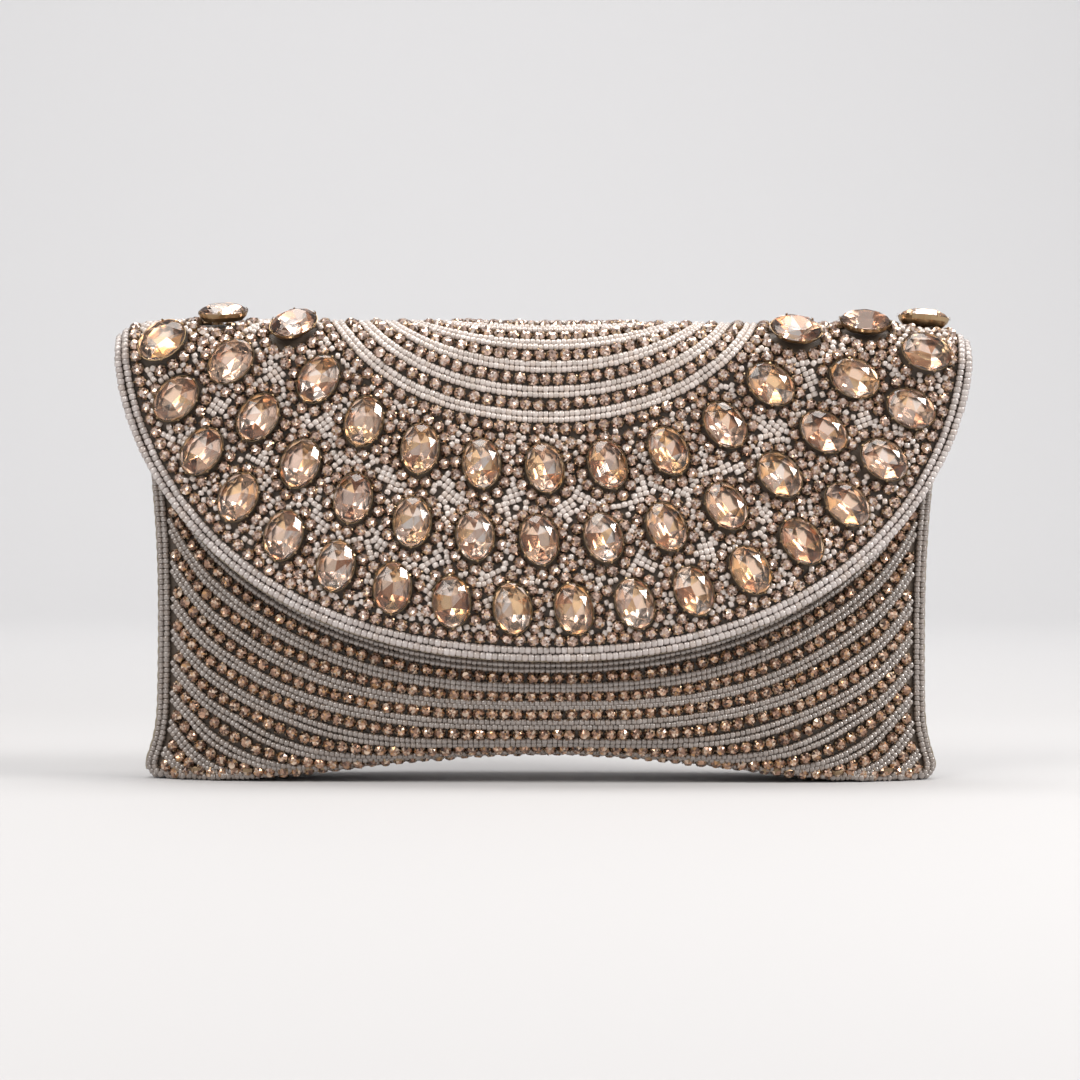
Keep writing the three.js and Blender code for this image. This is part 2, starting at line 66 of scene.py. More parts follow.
# ---- Driving dimensions, in millimetres: the shape of the solids ----
FLAP_CORNER = box_mm("flap_panel")[1]
HEIGHT = FLAP_CORNER[2]
FLAP_HALF_WIDTH = FLAP_CORNER[0]
FOLD_RADIUS = 12.5
FLAP_REACH = 101.0
FLAP_ROUNDNESS = 2.22
BULGE = 14.0
BULGE_REACH = 75.0
SEAM_PLANE = 4.6
BACK_BULGE = 9.0
WAIST_HALF_WIDTH = 105.8
BASE_HALF_DEPTH = 12.0
BASE_ROUND = 16.0
ARCH = 7.3
ARCH_HALF_WIDTH = 92.0
ARCH_HEIGHT = 34.0
MOUTH_HEIGHT = box_mm("front_panel")[1][2]
SPREAD_FROM = 82.0
SPREAD_TO = 111.0
SEAM = 0.35
FLAP_CLEARANCE = 1.8
HINGE_ANGLE = math.radians(-60)
HINGE_ALONG = HINGE_ANGLE * FOLD_RADIUS
SNAP_HEIGHT = 52.0
SNAP_RADIUS = 7.0

# Depths below the tops of the beads.
BEAD_LAYER = 2.0
CLOTH_BACK = 3.1
LINING_FRONT = 4.8
LINING_BACK = 5.3
FACING_THICKNESS = 0.6
POUCH_FLOOR = 12.0
POUCH_TOP = MOUTH_HEIGHT - 4
POUCH_SHARE = 0.88  # the pouch's width as a share of the body's
CORD_PITCH = 3.2  # the length in which a cord's plies make half a turn
CORD_DEPTH = 0.22  # depth of the groove between the plies, as a share of the radius

# ---- Beads and stones ----
SEED_RADIUS = 0.9
SEED_PITCH = 1.42
STRAND_GAP = 1.65
BORDER_SCALE = 1.14  # the two strands round the flap's edge are of larger beads
BORDER_GAP = 2.0
BORDER_INSET = 1.1  # from the flap's edge to the first strand
STONE_PITCH = 3.55
HALO_PITCH = 3.45
STONE_RADIUS = 1.72
ROW_PERIOD = 6.75
CRYSTAL_HALF_WIDTH = 5.2
CRYSTAL_HALF_LENGTH = 7.1
CRYSTAL_LIFT = 0.8
CRYSTAL_LEAN = math.radians(-12)
CRYSTAL_FOLLOW = 0.82  # how far a crystal turns with its row
CRYSTAL_ROWS = {
    "inner": {"reach": 48.5, "half_width": 69.1, "count": 11, "start": 0.046, "end": 0.949},
    "middle": {"reach": 68.5, "half_width": 87.6, "count": 15, "start": 0.008, "end": 0.976},
    "outer": {"reach": 87.0, "half_width": 104.3, "count": 19, "start": 0.042, "end": 1.005},
}
HALO_MARGIN = 1.75
FLAP_BORDER = 7.6  # width of the border's strands and stones
FIRST_ROW = 3.8  # from the flap's outline to the nearest of the body's rows of rhinestones
SEEDS_AFTER = 2.62  # from a row of rhinestones to the first strand beside it
SEAM_INSET = 0.9  # from the side seam to the first of its two strands
SWEEP = 6.0  # the body's rows turn up by this much beside the side seams
SWEEP_WIDTH = 17.0
HINGE_MARGIN = 0.2  # bare cloth between the hinge and the nearest beads on either side
MEDALLION_REACH = 37.2
MEDALLION_HALF_WIDTH = 60.0

random = np.random.default_rng(7)


# ---- The two surfaces ----
def ridge_height(x):
    return HEIGHT - 6 * np.abs(x / FLAP_HALF_WIDTH) ** 24


def fold_radius(x):
    return FOLD_RADIUS * (1 - 0.3 * np.abs(x / FLAP_HALF_WIDTH) ** 6)


def fold_centre(x):
    return ridge_height(x) - fold_radius(x)


def bulge(x):
    return BULGE * (1 - (x / 128) ** 2)


def bulge_share(down):
    return np.sin(np.pi / 2 * np.clip(down / BULGE_REACH, 0, 1)) ** 2


def flap_point(x, along):
    """A point on the tops of the flap's beads. Along is measured down the cloth from the ridge."""
    x, along = np.broadcast_arrays(np.asarray(x, float), np.asarray(along, float))
    radius = fold_radius(x)
    quarter = radius * np.pi / 2
    # Behind the ridge the fold is as long at its ends as in the middle.
    angle = np.where(along < 0, along / FOLD_RADIUS, np.clip(along, None, quarter) / radius)
    down = np.clip(along - quarter, 0, None)
    slope = (bulge(x) * np.pi) ** 2 / (8 * BULGE_REACH ** 2)
    curved = np.minimum(down, BULGE_REACH)
    lost = slope * (curved / 2 - BULGE_REACH / (4 * np.pi) * np.sin(2 * np.pi * curved / BULGE_REACH))
    y = -radius * np.sin(angle) - bulge(x) * bulge_share(down)
    z = fold_centre(x) + radius * np.cos(angle) - down + lost
    return np.stack([x, SEAM_PLANE + y, z], axis=-1)


def unit(vectors):
    """Vectors brought to a length of 1."""
    return vectors / np.maximum(np.linalg.norm(vectors, axis=-1, keepdims=True), 1e-9)


def running_length(points):
    """How far along a line of points each of them lies."""
    return np.concatenate([[0], np.cumsum(np.linalg.norm(np.diff(points, axis=0), axis=1))])


def turned(points, angle):
    """Points turned about Z."""
    cos, sin = math.cos(angle), math.sin(angle)
    return points @ np.array([[cos, -sin, 0], [sin, cos, 0], [0, 0, 1]]).T


def smooth(low, high, value):
    share = np.clip((value - low) / (high - low), 0, 1)
    return share * share * (3 - 2 * share)


def mix(a, b, share):
    return a + (b - a) * share


def body_half_width(z, side):
    share = (z - 45) / 35
    flare = 1.7 * np.where(share > 0, np.minimum(share ** 2, share), 0.25 * share ** 2)
    corner = 3.4 * np.exp(-((z / 10) ** 2))
    width = WAIST_HALF_WIDTH + flare + corner - 3.2 * np.clip(1 - z / 5, 0, None) ** 2
    if side == "back":
        width = mix(width, FLAP_HALF_WIDTH - 0.2, smooth(SPREAD_FROM, SPREAD_TO, z))
    return width


def side_taper(across):
    return np.sqrt(np.clip(1 - np.abs(across) ** 6, 0, None))


def half_depth(side, x, across, z):
    down = np.clip(fold_centre(x) - z, 0, None)
    if side == "front":
        full = fold_radius(x) + bulge(x) * bulge_share(down) - LINING_BACK - FLAP_CLEARANCE
        taper = side_taper(across)
    else:
        full = fold_radius(x) + BACK_BULGE * (1 - (x / 128) ** 2) * bulge_share(down * 1.2)
        taper = mix(side_taper(across), 1, smooth(SPREAD_FROM, SPREAD_TO, z))
    return SEAM + (full - SEAM) * taper


def arch_lift(x, z):
    """How far the arch of the bottom raises a point."""
    return ARCH * np.clip(1 - (x / ARCH_HALF_WIDTH) ** 2, 0, None) ** 2 * (1 - smooth(0, ARCH_HEIGHT, z))


def body_point(side, across, level):
    """A point on the tops of the body's beads. Level is 0 at the bottom seam, 1 where the flat underside
    ends, 2 where the wall begins, and rises by 1 for each 10 mm of wall."""
    across, level = np.broadcast_arrays(np.asarray(across, float), np.asarray(level, float))
    turn = np.pi / 2 * np.clip(level - 1, 0, 1)
    z = BASE_ROUND * (1 - np.cos(turn)) + 10 * np.clip(level - 2, 0, None)
    x = across * body_half_width(z, side)
    deep = half_depth(side, x, across, np.maximum(z, BASE_ROUND))
    under = np.minimum(deep, SEAM + (BASE_HALF_DEPTH - SEAM) * side_taper(across))
    y = np.where(level < 1, mix(SEAM, under, np.clip(level, 0, 1)), mix(under, deep, np.sin(turn)))
    z = z + arch_lift(x, z)
    if side == "back":
        z = z - (fold_centre(0) - fold_centre(x)) * smooth(85, fold_centre(0), z)
    return np.stack([x, SEAM_PLANE + (-y if side == "front" else y), z], axis=-1)


QUARTER_FOLD = FOLD_RADIUS * math.pi / 2
ROUNDING_LENGTH = 20.0
WALL_LENGTH = fold_centre(0) - BASE_ROUND
SNAP_ALONG = QUARTER_FOLD + WALL_LENGTH + BASE_ROUND - SNAP_HEIGHT


def level_at(down):
    """The level that lies a distance below the start of the wall, along the cloth."""
    down = np.asarray(down, float)
    wall = 2 + (WALL_LENGTH - down) / 10
    rounding = 2 - (down - WALL_LENGTH) / ROUNDING_LENGTH
    flat = 1 - (down - WALL_LENGTH - ROUNDING_LENGTH) / BASE_HALF_DEPTH
    low = np.where(down < WALL_LENGTH + ROUNDING_LENGTH, rounding, flat)
    return np.where(down < WALL_LENGTH, wall, low)


def height_at(along):
    """The height of the wall at a distance from the ridge, before the arch raises it."""
    level = level_at(np.asarray(along, float) - QUARTER_FOLD)
    return np.where(level < 2, BASE_ROUND * (1 - np.cos(np.pi / 2 * np.clip(level - 1, 0, 1))),
                    BASE_ROUND + 10 * (level - 2))


def body_skin(side):
    """The body's wall with the flap's coordinates: across in mm, and along in mm from the ridge."""
    def point(x, along):
        level = level_at(np.asarray(along, float) - QUARTER_FOLD)
        across = np.clip(np.asarray(x, float) / body_half_width(height_at(along), side), -1, 1)
        on_wall = body_point(side, across, level)
        if side == "front":
            return on_wall
        # Above the wall the back runs into the fold.
        over = flap_point(x, -np.asarray(along, float))
        return np.where((np.asarray(along, float) < QUARTER_FOLD)[..., None], over, on_wall)
    return point


front_skin = body_skin("front")
back_skin = body_skin("back")


def frames_on(skin, x, along, hand):
    """Points on a surface with three unit directions: across, down along the cloth, and out."""
    x = np.asarray(x, float)
    along = np.asarray(along, float)
    step = 0.05
    right = skin(x + step, along) - skin(x - step, along)
    down = skin(x, along + step) - skin(x, along - step)
    out = np.cross(down, right) * hand
    return skin(x, along), unit(right), unit(down), unit(out)


OUT_HAND = {"flap": 1, "front": 1, "back": -1}
SKINS = {"flap": flap_point, "front": front_skin, "back": back_skin}


# ---- Meshes ----
def mesh_object(name, points, faces, materials, face_materials=None, smooth_shading=True):
    """An object from points in millimetres and faces of any size."""
    mesh = bpy.data.meshes.new(name)
    loops = np.concatenate([np.asarray(f, np.int32).ravel() for f in faces])
    sizes = np.concatenate([np.full(len(f), np.asarray(f).shape[1], np.int32) for f in faces])
    mesh.vertices.add(len(points))
    mesh.vertices.foreach_set("co", (np.asarray(points) * MM).astype(np.float32).ravel())
    mesh.loops.add(len(loops))
    mesh.loops.foreach_set("vertex_index", loops)
    mesh.polygons.add(len(sizes))
    starts = np.concatenate([[0], np.cumsum(sizes)[:-1]])
    mesh.polygons.foreach_set("loop_start", starts.astype(np.int32))
    mesh.update(calc_edges=True)
    mesh.polygons.foreach_set("use_smooth", np.full(len(sizes), smooth_shading))
    if face_materials is not None:
        mesh.polygons.foreach_set("material_index", np.asarray(face_materials, np.int32))
    for material in materials:
        mesh.materials.append(material)
    piece = bpy.data.objects.new(name, mesh)
    bpy.context.scene.collection.objects.link(piece)
    return piece


class Template:
    """A small shape that is stamped many times: points in mm with Z out of the cloth, and its faces."""

    def __init__(self, points, faces, parts=None):
        self.points = np.array(points, float)
        self.faces = [np.array(f, int) for f in faces]
        self.parts = parts or [0] * len(faces)


def stamp(template, places, axes, scales=None):
    """Points of a template at each place. Axes holds each copy's X, Y and Z directions."""
    x_dir, y_dir, z_dir = axes
    local = template.points
    if scales is not None:
        local = local[None] * scales[:, None, None]
    else:
        local = np.broadcast_to(local, (len(places), *local.shape))
    return (places[:, None] + local[..., :1] * x_dir[:, None] + local[..., 1:2] * y_dir[:, None]
            + local[..., 2:] * z_dir[:, None])


def stamped_object(name, template, places, axes, materials, pick, smooth_shading=True, scales=None):
    """One object of many copies. Pick gives the material index of each face group of each copy."""
    points = stamp(template, places, axes, scales).reshape(-1, 3)
    offsets = np.arange(len(places)) * len(template.points)
    faces = []
    indices = []
    for group, part in zip(template.faces, template.parts):
        faces.append((group[None] + offsets[:, None, None]).reshape(-1, group.shape[1]))
        indices.append(pick(part, len(places), len(group)).ravel())
    return mesh_object(name, points, faces, materials, np.concatenate(indices), smooth_shading)


def ring_points(radius, height, count, turn=0.0):
    angles = np.arange(count) / count * 2 * np.pi + turn
    x, y = radius * np.cos(angles), radius * np.sin(angles)
    return np.stack([x, y, np.full(count, height)], -1)


def band(first, second, count):
    """Quads between two rings of points, given each ring's first index."""
    i = np.arange(count)
    j = (i + 1) % count
    return np.stack([first + i, first + j, second + j, second + i], -1)


def tube_faces(rings, count):
    """The sides of a tube of rings that have count points each, and its two ends."""
    quads = np.concatenate([band(k * count, (k + 1) * count, count) for k in range(rings - 1)])
    ends = np.array([np.arange(count)[::-1], np.arange(count) + (rings - 1) * count])
    return [quads, ends]


def seed_template():
    """A seed bead lying with its hole along X, resting on Z = 0."""
    count = 8
    profile = [(0.7, -0.7), (1.0, -0.48), (1.0, 0.48), (0.7, 0.7)]
    rings = [ring_points(radius * SEED_RADIUS, height, count, np.pi / 8) for radius, height in profile]
    points = np.concatenate(rings)[:, [2, 0, 1]]
    points[:, 2] += SEED_RADIUS * 0.95
    return Template(points, tube_faces(len(profile), count))


def rhinestone_template():
    """A round stone with a faceted crown in a cup with four claws, standing on Z = 0."""
    count = 8
    rings = [(1.35, 0.0), (1.66, 0.25), (1.66, 1.0), (1.61, 1.1), (1.61, 1.1), (0.88, 2.0)]
    # The table, which is the last ring, is turned by half a facet.
    points = [ring_points(radius, height, count, np.pi / 8 * (k == 5))
              for k, (radius, height) in enumerate(rings)]
    points = np.concatenate(points + [np.array([[0, 0, 1.82]])])
    cup = np.concatenate([band(k * count, (k + 1) * count, count) for k in range(3)])
    girdle = 4 * count
    table = 5 * count
    i = np.arange(count)
    j = (i + 1) % count
    crown = np.concatenate([np.stack([girdle + i, girdle + j, table + i], -1),
                            np.stack([girdle + j, table + j, table + i], -1)])
    top = np.stack([table + i, table + j, np.full(count, 6 * count)], -1)
    claws = []
    for k in range(4):
        claw, claw_faces = claw_shape(len(points))
        angle = np.pi / 4 + k * np.pi / 2
        points = np.concatenate([points, turned(claw, angle)])
        claws.append(claw_faces)
    points[:, :2] *= STONE_RADIUS / rings[1][0]
    return Template(points, [cup, crown, top, np.concatenate(claws)], ["cup", "crown", "table", "cup"])


def claw_shape(first):
    """A claw that stands on the cup's rim and bends over the stone, at angle 0."""
    wide = 0.2
    outline = [(1.58, 0.7), (1.76, 0.7), (1.7, 1.4), (1.36, 1.72), (1.3, 1.56), (1.58, 1.22)]
    points = np.array([(x, side * wide, z) for side in (-1, 1) for x, z in outline])
    n = len(outline)
    i = np.arange(n)
    j = (i + 1) % n
    sides = np.stack([first + i, first + j, first + n + j, first + n + i], -1)
    return points, sides


# ---- Materials ----
def new_material(name, **sockets):
    """A Principled material with its constant values set on the shader's own sockets."""
    material = bpy.data.materials.new(name)
    material.use_nodes = True
    shader = material.node_tree.nodes["Principled BSDF"]
    for key, value in sockets.items():
        socket = shader.inputs[key.replace("_", " ")]
        socket.default_value = (*value, 1) if isinstance(value, tuple) else value
    return material


def seed_materials(name, painted_light_and_tint):
    """Pearly grey glass in five tones, each times a factor: above one it paints light onto a copy of the
    same beads, and below one it paints shade.
    """
    shades = [(0.50, 0.445, 0.405), (0.56, 0.505, 0.465), (0.44, 0.39, 0.35), (0.60, 0.55, 0.51),
              (0.51, 0.44, 0.385)]
    return [new_material(f"{name}_{k + 1}", Base_Color=tuple(np.multiply(shade, painted_light_and_tint)), Roughness=0.16,
                         Coat_Weight=1.0, Coat_Roughness=0.03, Coat_IOR=1.9, IOR=1.65)
            for k, shade in enumerate(shades)]


def stone_materials(name, painted_light_and_tint, contrast):
    """Foiled glass facets in six flat colours, from a painted glint to painted shade, and the brass of
    the cups.
    """
    shades = [(0.92, 0.84, 0.79), (0.74, 0.57, 0.48), (0.56, 0.41, 0.35),
              (0.34, 0.24, 0.20), (0.13, 0.08, 0.06), (0.72, 0.52, 0.33)]
    # A contrast above one deepens the darker facet colours most, and a factor below one paints shade onto
    # the whole copy.
    facets = [new_material(f"{name}_facet_{k + 1}", Base_Color=tuple(np.power(shade, contrast) * painted_light_and_tint),
                           Roughness=0.12, Metallic=0.75, Coat_Weight=1.0, Coat_Roughness=0.03)
              for k, shade in enumerate(shades)]
    cup = new_material(f"{name}_cup_brass", Base_Color=(0.34, 0.24, 0.15), Roughness=0.35, Metallic=1.0)
    return facets + [cup]


# How often the crown's facets, then the table's, take each of the six colours, from the painted glint to
# the painted shade; the table takes the lighter ones more often.
STONE_CHANCES = [[0.17, 0.20, 0.20, 0.22, 0.14, 0.07], [0.24, 0.28, 0.21, 0.15, 0.03, 0.09]]


def pick_stone(part, copies, faces):
    """Facets take one of the painted glint and shade colours each; a cup's faces all take the brass,
    which is the last material.
    """
    if part == "cup":
        return np.full((copies, faces), len(STONE_CHANCES[0]))
    chances = STONE_CHANCES[0 if part == "crown" else 1]
    return random.choice(len(chances), size=(copies, faces), p=chances)


def whole_copies(shades):
    """A picker by which all the faces of a copy take that copy's shade."""
    def pick(part, copies, faces):
        return np.repeat(shades[:, None], faces, axis=1)
    return pick


# ---- Rows of beads ----
class BeadField:
    """Collects seed beads and rhinestones on one surface, in its flat coordinates (across, along)."""

    def __init__(self, skin_name):
        self.skin_name = skin_name
        self.seeds = []
        self.stones = []

    def add_seeds(self, places, headings, group="rows"):
        places = np.asarray(places, float).reshape(-1, 2)
        self.seeds.append((places, np.asarray(headings, float).ravel(), group))

    def add_stones(self, places):
        self.stones.append(np.asarray(places, float).reshape(-1, 2))

    def stone_places(self):
        return np.concatenate(self.stones) if self.stones else np.zeros((0, 2))


def metric_length(skin, path):
    """Running length of a path given in a surface's flat coordinates, measured on the surface."""
    return running_length(skin(path[:, 0], path[:, 1]))


def spaced(skin, path, pitch, closed=False):
    """Places at even steps along a path, with the path's heading at each."""
    lengths = metric_length(skin, path)
    total = lengths[-1]
    count = max(1, int(round(total / pitch)))
    if total < pitch:
        return np.zeros((0, 2)), np.zeros(0)
    marks = (np.arange(count) + (0 if closed else 0.5)) / count * total
    x = np.interp(marks, lengths, path[:, 0])
    along = np.interp(marks, lengths, path[:, 1])
    ahead_x = np.interp(np.minimum(marks + 0.4, total), lengths, path[:, 0])
    ahead_s = np.interp(np.minimum(marks + 0.4, total), lengths, path[:, 1])
    back_x = np.interp(np.maximum(marks - 0.4, 0), lengths, path[:, 0])
    back_s = np.interp(np.maximum(marks - 0.4, 0), lengths, path[:, 1])
    return np.stack([x, along], -1), np.arctan2(ahead_s - back_s, ahead_x - back_x)


def superellipse(half_width, reach, power, start=-0.3, end=math.pi + 0.3, count=1600):
    """A path from the left end of a curve round the middle of the ridge to its right end."""
    turn = np.linspace(start, end, count)
    cos, sin = np.cos(turn), np.sin(turn)
    x = -half_width * np.sign(cos) * np.abs(cos) ** (2 / power)
    along = reach * np.sign(sin) * np.abs(sin) ** (2 / power)
    return np.stack([x, along], -1)


def offset_path(path, distance):
    """A path moved outwards, away from the middle of the ridge, by a distance."""
    tangent = unit(np.gradient(path, axis=0))
    normal = np.stack([-tangent[:, 1], tangent[:, 0]], -1)
    moved = path + normal * distance
    # Points that an inward move has turned back on themselves are left out.
    forward = np.sum(np.gradient(moved, axis=0) * tangent, axis=1) > 0
    return moved[forward]


def runs_inside(path, inside):
    """The stretches of a path for which inside is true."""
    keep = inside(path[:, 0], path[:, 1]).astype(int)
    edges = np.flatnonzero(np.diff(np.concatenate([[0], keep, [0]])))
    return [path[a:b] for a, b in zip(edges[::2], edges[1::2]) if b - a > 3]


def flap_half_width(along):
    share = np.clip(1 - (np.abs(along) / FLAP_REACH) ** FLAP_ROUNDNESS, 0, None)
    return FLAP_HALF_WIDTH * share ** (1 / FLAP_ROUNDNESS)


def inside_oval(x, along, half_width, reach, power):
    """How far a place lies inside an oval about the middle of the ridge. It is negative outside."""
    u = np.maximum(np.abs(x) / half_width, 1e-6)
    v = np.maximum(np.abs(along) / reach, 1e-6)
    share = (u ** power + v ** power) ** (1 / power)
    slope = np.hypot((u / share) ** (power - 1) / half_width, (v / share) ** (power - 1) / reach)
    return (1 - share) / slope


def on_flap(margin, radius=SEED_RADIUS):
    """A test for places on the flap, a margin inside its outline and a radius clear of the hinge."""
    def inside(x, along):
        edge = inside_oval(x, along, FLAP_HALF_WIDTH, FLAP_REACH, FLAP_ROUNDNESS)
        return (edge > margin) & (along > HINGE_ALONG + HINGE_MARGIN + radius)
    return inside


# ---- The flap's beadwork ----
def crystal_places(row):
    """Each crystal of a row: across, along, and the row's heading there."""
    steps, past = 2000, 0.2
    path = superellipse(row["half_width"], row["reach"], 2.13, -past, math.pi + past, steps + 1)
    x, along = path.T
    lengths = running_length(path)
    first = lengths[round(past / (math.pi + 2 * past) * steps)]
    last = lengths[round((math.pi + past) / (math.pi + 2 * past) * steps)]
    targets = first + np.linspace(row["start"], row["end"], row["count"]) * (last - first)
    index = np.array([np.argmax(lengths >= target) for target in targets])
    heading = np.arctan2(along[index] - along[index - 1], x[index] - x[index - 1])
    return np.stack([x[index], along[index], heading], -1)


def crystal_turn(heading):
    """The direction of a crystal's length on the cloth, from its row's heading."""
    return CRYSTAL_FOLLOW * heading + math.pi / 2 + CRYSTAL_LEAN


ALL_CRYSTALS = {name: crystal_places(row) for name, row in CRYSTAL_ROWS.items()}


def clear_of_crystals(places, margin):
    """True for places that are at least a margin outside every crystal's outline."""
    clear = np.ones(len(places), bool)
    for x, along, heading in np.concatenate(list(ALL_CRYSTALS.values())):
        turn = crystal_turn(heading)
        dx = places[:, 0] - x
        ds = places[:, 1] - along
        lengthwise = dx * math.cos(turn) + ds * math.sin(turn)
        crosswise = -dx * math.sin(turn) + ds * math.cos(turn)
        clear &= ((lengthwise / (CRYSTAL_HALF_LENGTH + margin)) ** 2
                  + (crosswise / (CRYSTAL_HALF_WIDTH + margin)) ** 2) > 1
    return clear


def distances(places, others):
    """From each place, in rows, to each of the others, in columns."""
    return np.hypot(places[:, None, 0] - others[None, :, 0], places[:, None, 1] - others[None, :, 1])


def far_from(places, others, distance):
    """True for places that are at least a distance from all the others."""
    if not len(others) or not len(places):
        return np.ones(len(places), bool)
    return distances(places, others).min(axis=1) > distance


FLAP_OUTLINE = superellipse(FLAP_HALF_WIDTH, FLAP_REACH, FLAP_ROUNDNESS)


def outside_medallion(places, margin):
    return -inside_oval(places[:, 0], places[:, 1], MEDALLION_HALF_WIDTH, MEDALLION_REACH, 2.0) > margin


BEAD_RADIUS = {"stones": STONE_RADIUS, "seeds": SEED_RADIUS}


def rows_from(stones_at):
    """The distances of a row of rhinestones and of the two strands of seed beads after it."""
    strand_at = stones_at + SEEDS_AFTER
    return [("stones", stones_at), ("seeds", strand_at), ("seeds", strand_at + STRAND_GAP)]


def add_row(field, kind, path, inside, group="rows"):
    """Beads of one kind along the stretches of a path for which inside is true."""
    skin = SKINS[field.skin_name]
    for run in runs_inside(path, inside):
        if kind == "stones":
            field.add_stones(spaced(skin, run, STONE_PITCH)[0])
        else:
            field.add_seeds(*spaced(skin, run, SEED_PITCH), group)


def border_rows(field):
    """Two strands of larger seed beads and a row of rhinestones follow the flap's edge."""
    for inset in (BORDER_INSET, BORDER_INSET + BORDER_GAP):
        for run in runs_inside(offset_path(FLAP_OUTLINE, -inset), on_flap(0.2)):
            field.add_seeds(*spaced(flap_point, run, SEED_PITCH * BORDER_SCALE), "border")
    add_row(field, "stones", offset_path(FLAP_OUTLINE, -BORDER_INSET - BORDER_GAP - 2.75),
            on_flap(2, STONE_RADIUS))


def medallion_rows(field):
    """Ovals round the middle of the ridge: a row of rhinestones, then two strands of seeds, in turn."""
    for k in range(6):
        for kind, depth in rows_from(k * ROW_PERIOD):
            if MEDALLION_REACH - depth < 2:
                continue
            path = superellipse(MEDALLION_HALF_WIDTH - depth * 1.04, MEDALLION_REACH - depth, 2.0,
                                -math.pi / 2, math.pi * 1.5, 3000)
            add_row(field, kind, path, on_flap(8, BEAD_RADIUS[kind]), "medallion")


def ridge_strands(field):
    """Two straight strands fill the innermost oval, along the ridge."""
    x = np.linspace(-21.5, 21.5, 200)
    for along in (-STRAND_GAP / 2, STRAND_GAP / 2):
        path = np.stack([x, np.full(200, along)], -1)
        field.add_seeds(*spaced(flap_point, path, SEED_PITCH), "medallion")


def flat_point(x, along):
    return np.stack([x, along, np.zeros_like(x)], -1)


def halo_ring(x, along, heading):
    """The oval on which the rhinestones round a crystal sit."""
    turn = crystal_turn(heading)
    angles = np.linspace(0, 2 * np.pi, 200)
    length = (CRYSTAL_HALF_LENGTH + HALO_MARGIN) * np.cos(angles)
    width = (CRYSTAL_HALF_WIDTH + HALO_MARGIN) * np.sin(angles)
    return np.stack([x + length * math.cos(turn) - width * math.sin(turn),
                     along + length * math.sin(turn) + width * math.cos(turn)], -1)


def crystal_halos(field):
    """A ring of rhinestones sits round each crystal, turned to the place where most of them fit."""
    for crystal in np.concatenate(list(ALL_CRYSTALS.values())):
        ring = halo_ring(*crystal)
        best = np.zeros((0, 2))
        for shift in range(0, 16, 2):
            places, _ = spaced(flat_point, np.roll(ring[:-1], shift, axis=0), HALO_PITCH, closed=True)
            fits = (on_flap(FLAP_BORDER, STONE_RADIUS)(*places.T)
                    & clear_of_crystals(places, STONE_RADIUS - 0.2) & outside_medallion(places, 1.8)
                    & far_from(places, field.stone_places(), STONE_RADIUS * 1.86))
            if fits.sum() > len(best):
                best = places[fits]
        field.add_stones(best)


def seed_patches(field):
    """Patches of short, parallel strands fill the larger gaps between the halos."""
    patch = 9.4
    columns = np.arange(-FLAP_HALF_WIDTH, FLAP_HALF_WIDTH, patch)
    levels = np.arange(HINGE_ALONG, FLAP_REACH, patch)
    centres = np.array([(a + random.uniform(-2, 2), b + random.uniform(-2, 2))
                        for a in columns for b in levels])
    turns = np.where(random.random(len(centres)) < 0.5, 0.9, -0.7)
    turns = turns + random.uniform(-0.5, 0.5, len(centres))
    stones = field.stone_places()
    reach = np.arange(-6, 6.01)
    for k, centre in enumerate(centres):
        direction = np.array([math.cos(turns[k]), math.sin(turns[k])])
        across = np.array([-direction[1], direction[0]])
        grid = (centre + reach[:, None, None] * SEED_PITCH * 1.04 * direction
                + np.arange(-4, 5)[None, :, None] * STRAND_GAP * across).reshape(-1, 2)
        nearest = np.argmin(distances(grid, centres), axis=1)
        fits = (nearest == k) & on_flap(FLAP_BORDER - 1.2)(*grid.T) & outside_medallion(grid, 2.4)
        grid = grid[fits]
        clear = clear_of_crystals(grid, 0.6)
        grid = grid[clear & far_from(grid, stones, STONE_RADIUS + SEED_RADIUS * 0.5)]
        # A patch of fewer beads than this is left to the single stones.
        if len(grid) > 6:
            field.add_seeds(grid, np.full(len(grid), turns[k]), "patches")


def scattered(count, margin, crystal_margin, radius):
    """Random places on the part of the flap that holds the crystals."""
    tries = np.stack([random.uniform(-FLAP_HALF_WIDTH, FLAP_HALF_WIDTH, count),
                      random.uniform(HINGE_ALONG, FLAP_REACH, count)], -1)
    fits = on_flap(margin, radius)(*tries.T) & outside_medallion(tries, 1.9)
    return tries[fits & clear_of_crystals(tries, crystal_margin)]


def thinned(tries, distance):
    """The places that stay when each keeps a distance from those before it."""
    kept = np.zeros((0, 2))
    for place in tries:
        if far_from(place[None], kept, distance)[0]:
            kept = np.concatenate([kept, place[None]])
    return kept


def patch_beads(field):
    return np.concatenate([places for places, _, group in field.seeds if group == "patches"])


def loose_stones(field):
    """Single rhinestones take the places that are left."""
    tries = scattered(40000, FLAP_BORDER, STONE_RADIUS - 0.3, STONE_RADIUS)
    tries = tries[far_from(tries, field.stone_places(), STONE_RADIUS * 1.82)]
    tries = tries[far_from(tries, patch_beads(field), STONE_RADIUS + SEED_RADIUS * 0.4)]
    field.add_stones(thinned(tries, STONE_RADIUS * 1.82))


def loose_seeds(field):
    """Single seed beads fill what is still open between the stones."""
    tries = scattered(60000, FLAP_BORDER - 1.0, 0.45, SEED_RADIUS)
    tries = tries[far_from(tries, field.stone_places(), STONE_RADIUS + SEED_RADIUS * 0.3)]
    tries = tries[far_from(tries, patch_beads(field), SEED_RADIUS * 1.5)]
    kept = thinned(tries, SEED_RADIUS * 1.5)
    field.add_seeds(kept, random.uniform(0, np.pi, len(kept)), "patches")


# ---- The body's beadwork ----
# The last beads lie this far from the ridge, close to the bottom seam.
ROWS_END = QUARTER_FOLD + WALL_LENGTH + ROUNDING_LENGTH + BASE_HALF_DEPTH - 1.5


